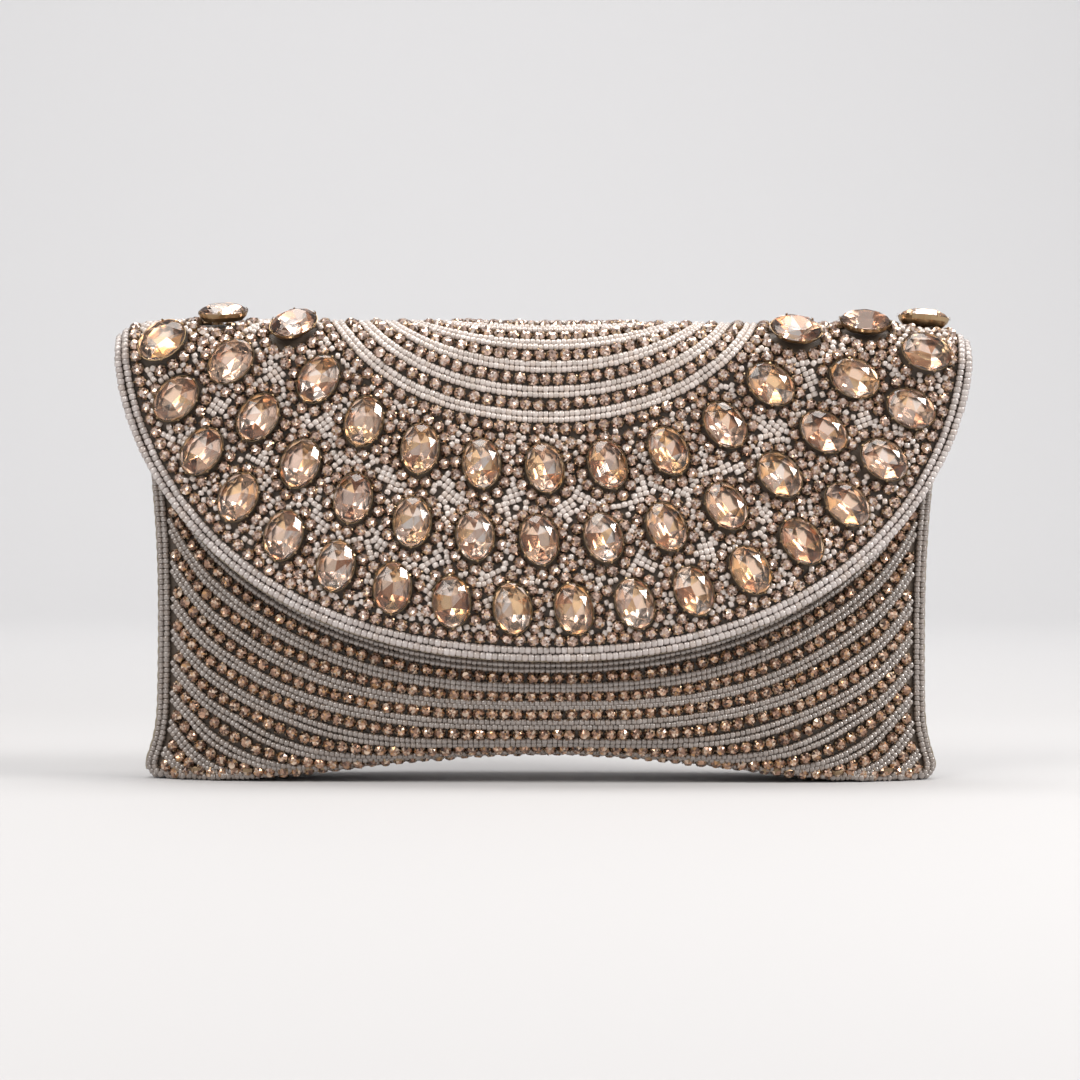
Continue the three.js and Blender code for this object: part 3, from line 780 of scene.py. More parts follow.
def body_rows(field, side):
    """Rows that step outwards from the flap's outline: two strands of seed beads, then rhinestones."""
    first_along = QUARTER_FOLD + 4 if side == "front" else -HINGE_ALONG + HINGE_MARGIN + 2 * SEED_RADIUS

    def inside(x, along, radius):
        edge = body_half_width(height_at(along), side) - SEAM_INSET - STRAND_GAP - SEED_RADIUS
        fits = (np.abs(x) < edge - 0.75 * radius) & (along > first_along + radius) & (along < ROWS_END)
        if side == "front":
            fits &= np.hypot(x, along - SNAP_ALONG) > SNAP_RADIUS + radius + 0.4
        return fits

    outline = superellipse(FLAP_HALF_WIDTH, FLAP_REACH, FLAP_ROUNDNESS, -0.05, math.pi + 0.05, 2400)
    for k in range(-15, 12):
        stones_at = FIRST_ROW + k * ROW_PERIOD
        if stones_at < 12 - FLAP_REACH:
            continue
        for kind, distance in rows_from(stones_at):
            path = swept_up(row_path(outline, distance))
            add_row(field, kind, path, lambda x, along: inside(x, along, BEAD_RADIUS[kind]))


def row_path(outline, distance):
    """The row at a distance from the flap's outline, run on straight where it leaves the ridge."""
    if distance >= 0:
        return offset_path(outline, distance)
    power = mix(FLAP_ROUNDNESS, 2.1, min(1, -distance / 30))
    half_width = max(FLAP_HALF_WIDTH + distance, 4)
    return superellipse(half_width, FLAP_REACH + distance, power, -0.05, math.pi + 0.05, 2400)


def swept_up(path):
    """A row whose ends turn up towards the side seams."""
    share = np.clip(1 - (WAIST_HALF_WIDTH - np.abs(path[:, 0])) / SWEEP_WIDTH, 0, None)
    path = path.copy()
    path[:, 1] -= SWEEP * share ** 2
    return path


def side_strands(field, side):
    """Two strands run down each side seam and round the bottom corners."""
    skin = SKINS[side]
    first_along = QUARTER_FOLD + 5 if side == "front" else -HINGE_ALONG + HINGE_MARGIN + SEED_RADIUS
    along = np.linspace(first_along, ROWS_END, 500)
    edge = body_half_width(height_at(along), side)
    for hand in (-1, 1):
        for inset in (SEAM_INSET, SEAM_INSET + STRAND_GAP):
            path = np.stack([hand * (edge - inset), along], -1)
            field.add_seeds(*spaced(skin, path, SEED_PITCH), "sides")


def hinge_strand(field):
    """One strand runs along the top of the back panel, just below the hinge. It keeps a little further
    away at its ends, where the fold is tighter."""
    along = -HINGE_ALONG + HINGE_MARGIN + SEED_RADIUS
    end = float(body_half_width(height_at(along), "back")) - SEAM_INSET - 2 * STRAND_GAP
    x = np.linspace(-end, end, 400)
    path = np.stack([x, along + 0.6 * np.abs(x / FLAP_HALF_WIDTH) ** 6], -1)
    field.add_seeds(*spaced(SKINS["back"], path, SEED_PITCH), "sides")


# ---- Turning bead fields into pieces ----
def split(places, most):
    """Index arrays that share the places between pieces that stay small enough to keep every face."""
    return np.array_split(np.arange(len(places)), max(1, math.ceil(len(places) / most)))


def above_floor(base, out, radius):
    """Beads that would dip below the floor are raised onto it."""
    centre = base[:, 2] + out[:, 2] * radius
    base[:, 2] += np.maximum(radius - centre, 0)
    return base


def build_seeds(field, name, body, groups, materials, template, scale=1.0):
    """The seed beads of the named groups."""
    chosen = [(p, h) for p, h, group in field.seeds if group in groups and len(p)]
    places = np.concatenate([p for p, _ in chosen])
    headings = np.concatenate([h for _, h in chosen])
    hand = OUT_HAND[field.skin_name]
    for part, index in enumerate(split(places, 3200)):
        flat, turn = places[index], headings[index]
        point, right, down, out = frames_on(SKINS[field.skin_name], flat[:, 0], flat[:, 1], hand)
        count = len(index)
        turn = turn + random.normal(0, 0.05, count)
        strand = unit(right * np.cos(turn)[:, None] + down * np.sin(turn)[:, None])
        side = np.cross(out, strand)
        base = point + out * (random.normal(0, 0.06, count) - BEAD_LAYER)[:, None]
        base += side * random.normal(0, 0.04, count)[:, None]
        base = above_floor(base, out, SEED_RADIUS * scale)
        shades = random.choice(len(materials), size=count, p=[0.3, 0.22, 0.2, 0.13, 0.15])
        piece = stamped_object(f"{name}_{part + 1}", template, base, (strand, side, out), materials,
                               whole_copies(shades), scales=scale * random.normal(1, 0.03, count))
        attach(piece, body)


def build_stones(field, name, body, materials, template):
    """The rhinestones, each turned and tilted a little its own way."""
    places = field.stone_places()
    hand = OUT_HAND[field.skin_name]
    for part, index in enumerate(split(places, 1600)):
        flat = places[index]
        point, right, down, out = frames_on(SKINS[field.skin_name], flat[:, 0], flat[:, 1], hand)
        count = len(index)
        turn = random.uniform(0, 2 * np.pi, count)
        tilt = random.normal(0, 0.1, (count, 2))
        out = unit(out + right * tilt[:, :1] + down * tilt[:, 1:])
        first = right * np.cos(turn)[:, None] + down * np.sin(turn)[:, None]
        first = unit(first - out * np.sum(first * out, axis=1, keepdims=True))
        base = point - out * (BEAD_LAYER - random.uniform(0, 0.25, count)[:, None])
        base = above_floor(base, out, STONE_RADIUS + 0.1)
        axes = (first, np.cross(out, first), out)
        piece = stamped_object(f"{name}_{part + 1}", template, base, axes, materials, pick_stone,
                               smooth_shading=False)
        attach(piece, body)


# ---- Oval crystals ----
# Heights in mm above the crystal's base; the point of the stone sinks into its setting.
GIRDLE_LOW, GIRDLE_TOP, TABLE_TOP, POINT_LOW = 0.95, 1.25, 3.0, -1.9
MAIN_FACETS = 8


def oval_points(share, height, first, count):
    """Points round an oval that is a share of the stone's size. First is the first point's turn."""
    angles = (np.arange(count) / count + first) * 2 * np.pi
    x, y = CRYSTAL_HALF_WIDTH * share * np.cos(angles), CRYSTAL_HALF_LENGTH * share * np.sin(angles)
    return np.stack([x, y, np.full(count, height)], -1)


def cut_stone():
    """An oval stone: a table, kites, stars and girdle facets above, and eight long facets below."""
    n = MAIN_FACETS
    girdle_top = oval_points(0.97, GIRDLE_TOP, 0.0, 2 * n)
    girdle_low = oval_points(0.97, GIRDLE_LOW, 0.0, 2 * n)
    middle = oval_points(0.86, mix(GIRDLE_TOP, TABLE_TOP, 0.45), 0.5 / n, n)
    table = oval_points(0.58, TABLE_TOP, 0.0, n)
    lower = oval_points(0.86, GIRDLE_LOW - 0.35, 0.5 / n, n)
    keel = np.array([[0, 1.6, POINT_LOW], [0, -1.6, POINT_LOW]])
    points = np.concatenate([girdle_top, girdle_low, middle, table, lower, keel])
    g, b, m, t, w, k = 0, 2 * n, 4 * n, 5 * n, 6 * n, 7 * n
    i = np.arange(n)
    j = (i + 1) % n
    last = (i - 1) % n
    even, odd, following = 2 * i, 2 * i + 1, (2 * i + 2) % (2 * n)
    kites = np.stack([t + i, m + last, g + even, m + i], -1)
    stars = np.stack([t + i, m + i, t + j], -1)
    edges = np.concatenate([np.stack([m + i, g + even, g + odd], -1),
                            np.stack([m + i, g + odd, g + following], -1)])
    rim = band(b, g, 2 * n)
    # Each point of the lower ring runs to the nearer end of the keel.
    ends = np.where(np.sin((i + 0.5) / n * 2 * np.pi) >= 0, k, k + 1)
    mains = np.stack([w + j, w + i, ends], -1)
    joint = np.stack([w + j, ends, ends[j]], -1)[ends != ends[j]]
    bottoms = np.concatenate([np.stack([b + even, w + i, w + last], -1)[:, ::-1],
                              np.stack([b + even, b + odd, w + i], -1)[:, ::-1],
                              np.stack([b + odd, b + following, w + i], -1)[:, ::-1]])
    faces = {"kites": kites, "stars": stars, "edges": edges, "rim": rim, "table": (t + i)[None],
             "mains": mains, "joint": joint, "bottoms": bottoms}
    return Template(points, list(faces.values()), list(faces))


def crystal_setting():
    """A thin oval cup with six claws bent over the stone's girdle."""
    count = 24
    angles = np.arange(count) / count * 2 * np.pi

    def oval(grow, height):
        x, y = (CRYSTAL_HALF_WIDTH + grow) * np.cos(angles), (CRYSTAL_HALF_LENGTH + grow) * np.sin(angles)
        return np.stack([x, y, np.full(count, height)], -1)

    rings = [oval(-1.6, -1.5), oval(-0.4, -0.2), oval(0.05, 0.95), oval(-0.08, 0.95), oval(-0.25, 0.3)]
    points = np.concatenate(rings)
    faces = [np.concatenate([band(k * count, (k + 1) * count, count) for k in range(4)])]
    claws = []
    for k in range(6):
        angle = (k + 0.5) / 6 * 2 * np.pi
        x = (CRYSTAL_HALF_WIDTH + 0.05) * math.cos(angle)
        y = (CRYSTAL_HALF_LENGTH + 0.05) * math.sin(angle)
        facing = math.atan2(y / CRYSTAL_HALF_LENGTH, x / CRYSTAL_HALF_WIDTH)
        first = len(points)
        claw, sides = claw_shape(first)
        claw = (claw - np.array([1.5, 0, 1.0])) * np.array([1.1, 1.3, 1.1])
        points = np.concatenate([points, turned(claw, facing) + np.array([x, y, 0.95])])
        claws.append(sides)
    return Template(points, [faces[0], np.concatenate(claws)], ["cup", "cup"])


def crystal_materials():
    """Clear glass for the front of a stone, then its foiled back in five colours, and the setting.
    Besides the foil's peach, gold and rose, a dark brown paints shade and a near-white paints reflected
    light onto single facets.
    """
    glass = new_material("crystal_glass", Base_Color=(1.0, 0.93, 0.88), Roughness=0.0, IOR=1.6,
                         Transmission_Weight=1.0)
    shades = [(0.99, 0.78, 0.62), (1.0, 0.72, 0.44), (0.90, 0.72, 0.62), (0.54, 0.30, 0.19),
              (1.0, 0.93, 0.88)]
    foils = [new_material(f"crystal_foil_{k + 1}", Base_Color=shade, Roughness=0.14, Metallic=1.0)
             for k, shade in enumerate(shades)]
    setting = new_material("setting_brass", Base_Color=(0.40, 0.28, 0.16), Roughness=0.3, Metallic=1.0)
    return [glass] + foils, setting


# How often the back's facets take each colour; the fourth is painted shade and the fifth painted
# reflection.
FOIL_CHANCES = [0.32, 0.20, 0.19, 0.13, 0.16]


def pick_facet(part, copies, faces):
    """The front is all glass, and each facet of the back takes one of the foil's colours, among them the
    painted shade and the painted reflection.
    """
    if part not in ("mains", "joint", "bottoms"):
        return np.zeros((copies, faces), int)
    return 1 + random.choice(5, size=(copies, faces), p=FOIL_CHANCES)


def build_crystals():
    stone_finishes, setting = crystal_materials()
    stone, cup = cut_stone(), crystal_setting()
    for row, places in ALL_CRYSTALS.items():
        x, along, heading = places.T
        point, right, down, out = frames_on(flap_point, x, along, 1)
        turn = crystal_turn(heading)
        long = unit(right * np.cos(turn)[:, None] + down * np.sin(turn)[:, None])
        axes = (np.cross(long, out), long, out)
        base = point + out * CRYSTAL_LIFT
        stones = stamped_object(f"crystals_{row}", stone, base, axes, stone_finishes, pick_facet,
                                smooth_shading=False)
        cups = stamped_object(f"crystal_settings_{row}", cup, base, axes, [setting],
                              whole_copies(np.zeros(len(places), int)), smooth_shading=False)
        for piece, slot in ((stones, "crystal"), (cups, "brass")):
            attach(piece, "flap")
        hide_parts(*[f"crystal_{row}_{k + 1:02d}" for k in range(len(places))])


# ---- Cloth ----
def grid_object(name, front, back, materials):
    """A closed sheet between two grids of points with the same rows and columns."""
    rows, columns = front.shape[:2]
    points = np.concatenate([front.reshape(-1, 3), back.reshape(-1, 3)])
    i, j = np.meshgrid(np.arange(rows - 1), np.arange(columns - 1), indexing="ij")
    first = (i * columns + j).ravel()
    quads = np.stack([first, first + 1, first + columns + 1, first + columns], -1)
    second = quads[:, ::-1] + rows * columns
    edge = np.concatenate([np.arange(columns), np.arange(1, rows) * columns + columns - 1,
                           (rows - 1) * columns + np.arange(columns - 2, -1, -1),
                           np.arange(rows - 2, 0, -1) * columns])
    following = np.roll(edge, -1)
    rim = np.stack([following, edge, edge + rows * columns, following + rows * columns], -1)
    return mesh_object(name, points, [quads, second, rim], materials)


def sheet_points(skin, x, along, hand, depth):
    point, _, _, out = frames_on(skin, x.ravel(), along.ravel(), hand)
    return (point - out * np.broadcast_to(depth, x.shape).ravel()[:, None]).reshape(*x.shape, 3)


def add_node(material, kind, **settings):
    node = material.node_tree.nodes.new(kind)
    for key, value in settings.items():
        if key in node.inputs:
            node.inputs[key].default_value = value
        else:
            setattr(node, key, value)
    return node


def add_texture(material, kind, **settings):
    """A texture that is fixed to the object's own coordinates."""
    coordinates = add_node(material, "ShaderNodeTexCoord")
    texture = add_node(material, kind, **settings)
    material.node_tree.links.new(coordinates.outputs["Object"], texture.inputs["Vector"])
    return texture


def shade_by(material, source, stops, roughness):
    """Colour and roughness follow a texture's value. Stops holds the place and colour of the ramp's two
    ends, and roughness the values at the texture's 0 and 1."""
    link = material.node_tree.links.new
    shader = material.node_tree.nodes["Principled BSDF"]
    ramp = add_node(material, "ShaderNodeValToRGB")
    for element, (position, colour) in zip(ramp.color_ramp.elements, stops):
        element.position = position
        element.color = (*colour, 1)
    gloss = add_node(material, "ShaderNodeMapRange", **{"To Min": roughness[0], "To Max": roughness[1]})
    link(source, ramp.inputs["Fac"])
    link(ramp.outputs["Color"], shader.inputs["Base Color"])
    link(source, gloss.inputs["Value"])
    link(gloss.outputs["Result"], shader.inputs["Roughness"])


def satin_material(name, colour, shade, weave_mm=0.28, roughness=0.38, sheen=0.35):
    """Satin: fine diagonal threads in the bump, and slow changes of colour and gloss."""
    material = new_material(name, Sheen_Weight=sheen, Sheen_Roughness=0.35, Specular_IOR_Level=0.45)
    blotches = add_texture(material, "ShaderNodeTexNoise", Scale=34.0, Detail=4.0, Roughness=0.6)
    shade_by(material, blotches.outputs["Fac"], [(0.32, shade), (0.68, colour)],
             (roughness - 0.08, roughness + 0.1))
    threads = add_texture(material, "ShaderNodeTexWave", Scale=0.314 / (weave_mm * MM) / 2,
                          Distortion=0.6, Detail=2.0, wave_type="BANDS", bands_direction="DIAGONAL")
    bump = add_node(material, "ShaderNodeBump", Strength=0.35, Distance=0.00012)
    shader = material.node_tree.nodes["Principled BSDF"]
    material.node_tree.links.new(threads.outputs["Fac"], bump.inputs["Height"])
    material.node_tree.links.new(bump.outputs["Normal"], shader.inputs["Normal"])
    return material


def metal_material(name, colour, shade, roughness):
    """Plated metal with fine wear: duller, darker patches among the polish."""
    material = new_material(name, Metallic=1.0)
    wear = add_texture(material, "ShaderNodeTexNoise", Scale=420.0, Detail=6.0, Roughness=0.65)
    shade_by(material, wear.outputs["Fac"], [(0.35, shade), (0.6, colour)],
             (roughness + 0.12, roughness - 0.06))
    return material


def board_material():
    """Buckram: a coarse open weave stiffened with size."""
    material = new_material("buckram_weave", Specular_IOR_Level=0.2)
    cross = add_node(material, "ShaderNodeMath", operation="MULTIPLY")
    for k, direction in enumerate("XZ"):
        threads = add_texture(material, "ShaderNodeTexWave", Scale=260.0, Distortion=0.4,
                              bands_direction=direction)
        material.node_tree.links.new(threads.outputs["Fac"], cross.inputs[k])
    shade_by(material, cross.outputs["Value"], [(0.0, (0.62, 0.57, 0.48)), (1.0, (0.86, 0.82, 0.74))],
             (0.95, 0.8))
    return material


# The base satin is darker than its own brown so that, where it shows between the beads, it stands for
# their shadow: partly its colour, partly painted shade.
SATIN = satin_material("base_satin_and_shade", (0.12, 0.09, 0.067), (0.075, 0.056, 0.042))
LINING_SATIN = satin_material("lining_satin", (0.62, 0.52, 0.41), (0.53, 0.43, 0.33),
                              roughness=0.3, sheen=0.4)
THREAD = satin_material("sewing_thread", (0.44, 0.37, 0.28), (0.34, 0.28, 0.20), weave_mm=0.3)
PIPING_SATIN = satin_material("piping_satin", (0.30, 0.25, 0.17), (0.20, 0.16, 0.10), weave_mm=0.5)


def wrinkles(x, along, size):
    """Soft, uneven folds: a few crossing waves of different lengths."""
    waves = (np.sin(x / 9.1 + along / 23.0) + 0.7 * np.sin(x / 5.3 - along / 17.0 + 1.3)
             + 0.5 * np.sin(x / 14.7 + along / 8.9 + 2.1))
    return size * waves / 2.2


def outline_shares(count, reach=1.0):
    """Shares across a width, closer together towards the edges."""
    k = np.linspace(-1, 1, count)
    return reach * np.sin(np.pi / 2 * k * 0.985) / math.sin(np.pi / 2 * 0.985)


def flap_rows(first, last, count):
    """Distances along the flap, closer together towards the tip."""
    turn = np.arcsin((last / FLAP_REACH) ** (FLAP_ROUNDNESS / 2)) * np.linspace(0, 1, count)
    rows = FLAP_REACH * np.sin(turn) ** (2 / FLAP_ROUNDNESS)
    above = np.linspace(first, rows[1] / 2, max(2, int((rows[1] / 2 - first) / 1.5)))
    return np.concatenate([above, rows[1:]])


def flap_grid(margin, first, last, tail, rows=90, columns=150):
    """Places over the flap. Behind the hinge the sheet narrows to a tail, given by its half width."""
    along = flap_rows(first, last, rows)
    share = outline_shares(columns)
    width = np.maximum(flap_half_width(along * FLAP_REACH / (FLAP_REACH - margin)) - margin, 3.0)
    width = np.minimum(width, mix(tail, FLAP_HALF_WIDTH, smooth(first, HINGE_ALONG + 2, along)))
    return share[None] * width[:, None], np.broadcast_to(along[:, None], (len(along), columns))


def blend_over_hinge(piece):
    """Bakes the piece's placement into its points."""

    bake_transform(piece)


def build_flap_cloth():
    """The satin that the flap's beads are sewn to, which runs on over the hinge to the back panel."""
    x, along = flap_grid(0.15, HINGE_ALONG - 4.5, FLAP_REACH - 0.3, 88)
    front = sheet_points(flap_point, x, along, 1, BEAD_LAYER)
    back = sheet_points(flap_point, x, along, 1, CLOTH_BACK)
    piece = grid_object("flap_cloth", front[::-1], back[::-1], [SATIN])
    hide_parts("flap_panel")
    blend_over_hinge(piece)


def build_flap_lining():
    """The lining starts inside the mouth, on the back wall, and ends just short of the flap's edge."""
    x, along = flap_grid(2.6, -QUARTER_FOLD - 8.0, FLAP_REACH - 3.2, 98)
    ease = np.clip((FLAP_REACH - 14 - along) / 30, 0, 1)
    depth = LINING_FRONT - 0.3 + wrinkles(x, along, 0.18) * ease
    front = sheet_points(lining_path, x, along, 1, depth)
    back = sheet_points(lining_path, x, along, 1, depth + 0.5)
    piece = grid_object("flap_lining_cloth", front[::-1], back[::-1], [LINING_SATIN])
    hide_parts("flap_lining")
    blend_over_hinge(piece)


def lining_path(x, along):
    """The flap's surface, run on down the inside of the back wall."""
    x, along = np.broadcast_arrays(np.asarray(x, float), np.asarray(along, float))
    shrink = np.clip(1 + (along + QUARTER_FOLD) / 8 * 0.05, 0.9, 1)
    on_back = back_skin(x * shrink, -along)
    return np.where((along < -QUARTER_FOLD)[..., None], on_back, flap_point(x, along))


def build_body_cloth(side):
    """The satin of the front or the back panel, from its top edge round to the bottom seam."""
    top = (MOUTH_HEIGHT - BASE_ROUND) / 10 + 2 if side == "front" else 2 + WALL_LENGTH / 10
    levels = np.concatenate([np.linspace(0.02, 1, 6), np.linspace(1, 2, 14)[1:],
                             np.linspace(2, top, 70)[1:]])
    share = outline_shares(150, 0.9985)
    point, normal = body_normals(side, *np.meshgrid(share, levels))
    front = own_side(point - normal * BEAD_LAYER, side)
    back = own_side(point - normal * CLOTH_BACK, side)
    if side == "back":
        above = np.linspace(-QUARTER_FOLD, HINGE_ALONG - 4.8, 8)[1:]
        x, along = np.meshgrid(share * (FLAP_HALF_WIDTH - 0.2), above)
        front = np.concatenate([front, sheet_points(flap_point, x, along, 1, BEAD_LAYER)])
        back = np.concatenate([back, sheet_points(flap_point, x, along, 1, CLOTH_BACK)])
        front, back = front[:, ::-1], back[:, ::-1]
    piece = grid_object(f"{side}_cloth", front, back, [SATIN])
    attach(piece, "bag_body")
    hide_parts(f"{side}_panel")


def own_side(points, side):
    """A panel's points, with none past the plane of the side seams."""
    if side == "front":
        points[..., 1] = np.minimum(points[..., 1], SEAM_PLANE - SEAM / 2)
    else:
        points[..., 1] = np.maximum(points[..., 1], SEAM_PLANE + SEAM / 2)
    return points


def body_normals(side, share, level):
    """Points on the tops of the body's beads, and the direction out of the body at each."""
    step = 1e-3
    point = body_point(side, share, level)
    across = body_point(side, share + step, level) - body_point(side, share - step, level)
    up = body_point(side, share, level + step) - body_point(side, share, np.maximum(level - step, 0))
    normal = np.cross(across, up) * (1 if side == "front" else -1)
    return point, normal / np.maximum(np.linalg.norm(normal, axis=-1, keepdims=True), 1e-12)


def build_pouch():
    """The lining pouch: one loose ring of satin for each height, folded a little, with a closed floor."""
    count = 110
    share = outline_shares(count, POUCH_SHARE)
    heights = np.concatenate([[POUCH_FLOOR, 12.8, 14.0], np.linspace(BASE_ROUND, POUCH_TOP, 44)])
    outer, inner = [], []
    for z in heights:
        narrow = 1.0
        if z < BASE_ROUND:
            narrow = mix(0.6, 0.95, (z - POUCH_FLOOR) / (BASE_ROUND - POUCH_FLOOR))
        for store, extra in ((outer, 0.0), (inner, 0.5)):
            ring = []
            for side, order in (("front", share), ("back", share[::-1])):
                level = np.full(count, 2 + (max(z, BASE_ROUND) - BASE_ROUND) / 10)
                point, normal = body_normals(side, order * (1 - extra / 100), level)
                sag = 0.45 + wrinkles(order * 100, z * 1.7, 0.45) * min(1, (POUCH_TOP - z) / 12)
                moved = point - normal * (LINING_BACK + 0.2 + extra + sag[:, None])
                moved[:, 1] = SEAM_PLANE + (moved[:, 1] - SEAM_PLANE) * narrow
                moved[:, 2] = z if (z > POUCH_FLOOR or extra == 0) else z + 0.3
                ring.append(moved)
            store.append(np.concatenate(ring))
    around = 2 * count
    points = np.concatenate([np.concatenate(outer), np.concatenate(inner)])
    last = len(heights) - 1
    inside = len(heights) * around
    walls = [band(k * around, (k + 1) * around, around) for k in range(last)]
    linings = [band(inside + k * around, inside + (k + 1) * around, around)[:, ::-1] for k in range(last)]
    rim = band(last * around, inside + last * around, around)
    i = np.arange(count - 1)
    floor = np.stack([around - 1 - i, around - 2 - i, i + 1, i], -1)
    ceiling = floor[:, ::-1] + inside
    piece = mesh_object("pouch_lining", points, [np.concatenate(walls + linings + [rim, floor, ceiling])],
                        [LINING_SATIN])
    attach(piece, "bag_body")
    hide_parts("lining_pouch")


def build_slip_pocket():
    """A flat satin pocket on the back wall of the lining, with a folded hem along its top."""
    half_share = 0.42
    low, hem_low, top = 32, 80, 86
    seam_height = 81.2
    across = np.linspace(-half_share, half_share, 90)
    rows = np.concatenate([np.linspace(low, hem_low, 40), np.linspace(hem_low + 0.2, top, 12)])
    share, z = np.meshgrid(across, rows)
    point, normal = body_normals("back", share, 2 + (z - BASE_ROUND) / 10)

    def sheet(depth):
        return point - normal * depth[..., None]

    def gape(share, z):
        return 1.1 * smooth(50, top, z) * np.clip(1 - (share / half_share) ** 2, 0, None)

    # The pocket gapes a little at the middle of its top, and its hem is twice as thick as the rest.
    far = LINING_BACK + 1.8 + gape(share, z)
    hem = 0.45 * smooth(hem_low, hem_low + 0.6, z) * smooth(0, 0.4, top + 0.2 - z)
    piece = grid_object("slip_pocket_cloth", sheet(far), sheet(far + 0.5 + hem), [LINING_SATIN])
    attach(piece, "bag_body")
    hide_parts("slip_pocket")
    seam_level = np.full(len(across), 2 + (seam_height - BASE_ROUND) / 10)
    seam_point, seam_normal = body_normals("back", across, seam_level)
    depth = LINING_BACK + 2.3 + 0.4 + gape(across, seam_height)
    stitches("pocket_stitches", seam_point - seam_normal * depth[:, None], -seam_normal)


def stitches(name, path, out, pitch=3.0, length=2.1):
    """A row of raised stitches along a path of points on cloth, each dipping into it at both ends."""
    run = running_length(path)
    marks = np.arange(pitch / 2, run[-1], pitch)

    def at(values, places):
        return np.stack([np.interp(places, run, values[:, k]) for k in range(3)], -1)

    start, end = at(path, marks - length / 2), at(path, marks + length / 2)
    lift = unit(at(out, marks))
    forward = unit(end - start)
    side = np.cross(lift, forward)
    profile = [(-0.5, -0.05), (-0.42, 0.1), (-0.15, 0.2), (0.15, 0.2), (0.42, 0.1), (0.5, -0.05)]
    turn = np.arange(6) / 6 * 2 * np.pi
    points = np.array([(share * length, 0.2 * math.cos(a) * (1 - abs(share)), height + 0.2 * math.sin(a))
                       for share, height in profile for a in turn])
    template = Template(points, tube_faces(len(profile), 6))
    piece = stamped_object(name, template, (start + end) / 2, (forward, side, lift), [THREAD],
                           whole_copies(np.zeros(len(marks), int)))
    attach(piece, "bag_body")


def build_mouth_facing():
    """The front's top edge is bound with satin, which turns over it and down to the lining."""
    profile = [(BEAD_LAYER - 0.05, 108.6), (BEAD_LAYER - 0.2, 109.4), (BEAD_LAYER + 0.1, 110.2),
               (BEAD_LAYER + 0.9, 110.6), (BEAD_LAYER + 2.0, 110.3), (LINING_BACK - 0.9, 109.4),
               (LINING_BACK + 0.0, 107.6), (LINING_BACK + 0.1, 104.5)]
    across = outline_shares(120, 0.993)
    rows = []
    for depth, z in profile:
        point, normal = body_normals("front", across, np.full(120, 2 + (z - BASE_ROUND) / 10))
        moved = point - normal * depth
        moved[:, 1] = np.minimum(moved[:, 1], SEAM_PLANE - SEAM)
        rows.append(moved)
    outer = np.array(rows)
    inward = unit(np.cross(np.gradient(outer, axis=1), np.gradient(outer, axis=0)))
    piece = grid_object("mouth_facing", outer, outer + inward * FACING_THICKNESS, [SATIN])
    smoothed(piece)
    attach(piece, "bag_body")
    seam = np.full(120, 2 + (108.9 - BASE_ROUND) / 10)
    point, normal = body_normals("front", across * 0.985, seam)
    stitches("mouth_stitches", point - normal * (BEAD_LAYER - 0.15), normal)


def smoothed(piece, levels=1):
    """Rounds a piece with one step of subdivision."""
    modifier = piece.modifiers.new("round", "SUBSURF")
    modifier.levels = modifier.render_levels = levels


def build_gussets():
    """Above the side seams the front and back panels part, and a folded strip of satin joins them."""
    heights = np.linspace(80, 109.5, 24)
    shares = np.linspace(0, 1, 9)
    for name, hand in (("left", -1), ("right", 1)):
        level = 2 + (heights - BASE_ROUND) / 10
        ends = []
        for side in ("front", "back"):
            point, normal = body_normals(side, np.full(len(heights), hand * 0.99), level)
            ends.append(own_side(point - normal * (BEAD_LAYER + 0.6), side))
        front, back = ends
        strip = mix(front[:, None], back[:, None], shares[None, :, None])
        # The strip folds inwards between the panels.
        gap = np.linalg.norm(back - front, axis=1)
        strip[..., 0] -= hand * (0.3 * gap)[:, None] * np.sin(np.pi * shares)[None]
        inside = strip.copy()
        inside[..., 0] -= hand * FACING_THICKNESS
        near, far = (strip, inside) if hand == 1 else (strip[:, ::-1], inside[:, ::-1])
        piece = grid_object(f"gusset_{name}", near, far, [SATIN])
        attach(piece, "bag_body")


def finish_hardware():
    """The solids of the snap and the boards keep their shapes and take finished materials."""
    brass = metal_material("snap_brass", (0.80, 0.60, 0.33), (0.58, 0.40, 0.20), 0.24)
    steel = metal_material("washer_steel", (0.62, 0.62, 0.61), (0.42, 0.42, 0.42), 0.34)
    ferrite = metal_material("magnet_ferrite", (0.10, 0.10, 0.105), (0.05, 0.05, 0.055), 0.5)
    buckram = board_material()
    finishes = {"snap_socket": brass, "snap_stud": brass, "snap_magnet": ferrite,
                "socket_washer": steel, "stud_washer": steel,
                "front_board": buckram, "back_board": buckram, "flap_board": buckram}
    for name, material in finishes.items():
        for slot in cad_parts[name].material_slots:
            slot.material = material


def cord(name, path, radius):
    """A satin cord along a path of points in mm. Its two plies turn round it."""
    sides = 10
    path = np.asarray(path, float)
    tangent = unit(np.gradient(path, axis=0))
    normal = np.zeros_like(path)
    normal[0] = unit(np.cross(tangent[0], [0.3, 0.2, 0.9]))
    for k in range(1, len(path)):
        normal[k] = unit(normal[k - 1] - tangent[k] * (normal[k - 1] @ tangent[k]))
    side = np.cross(tangent, normal)
    run = running_length(path)
    angle = np.arange(sides) / sides * 2 * np.pi
    wave = np.abs(np.sin((angle[None] * 2 + run[:, None] / CORD_PITCH * 2 * np.pi) / 2))
    reach = radius * (1 - CORD_DEPTH + CORD_DEPTH * wave)
    rings = (path[:, None] + normal[:, None] * (reach * np.cos(angle))[..., None]
             + side[:, None] * (reach * np.sin(angle))[..., None])
    return mesh_object(name, rings.reshape(-1, 3), tube_faces(len(path), sides), [PIPING_SATIN])


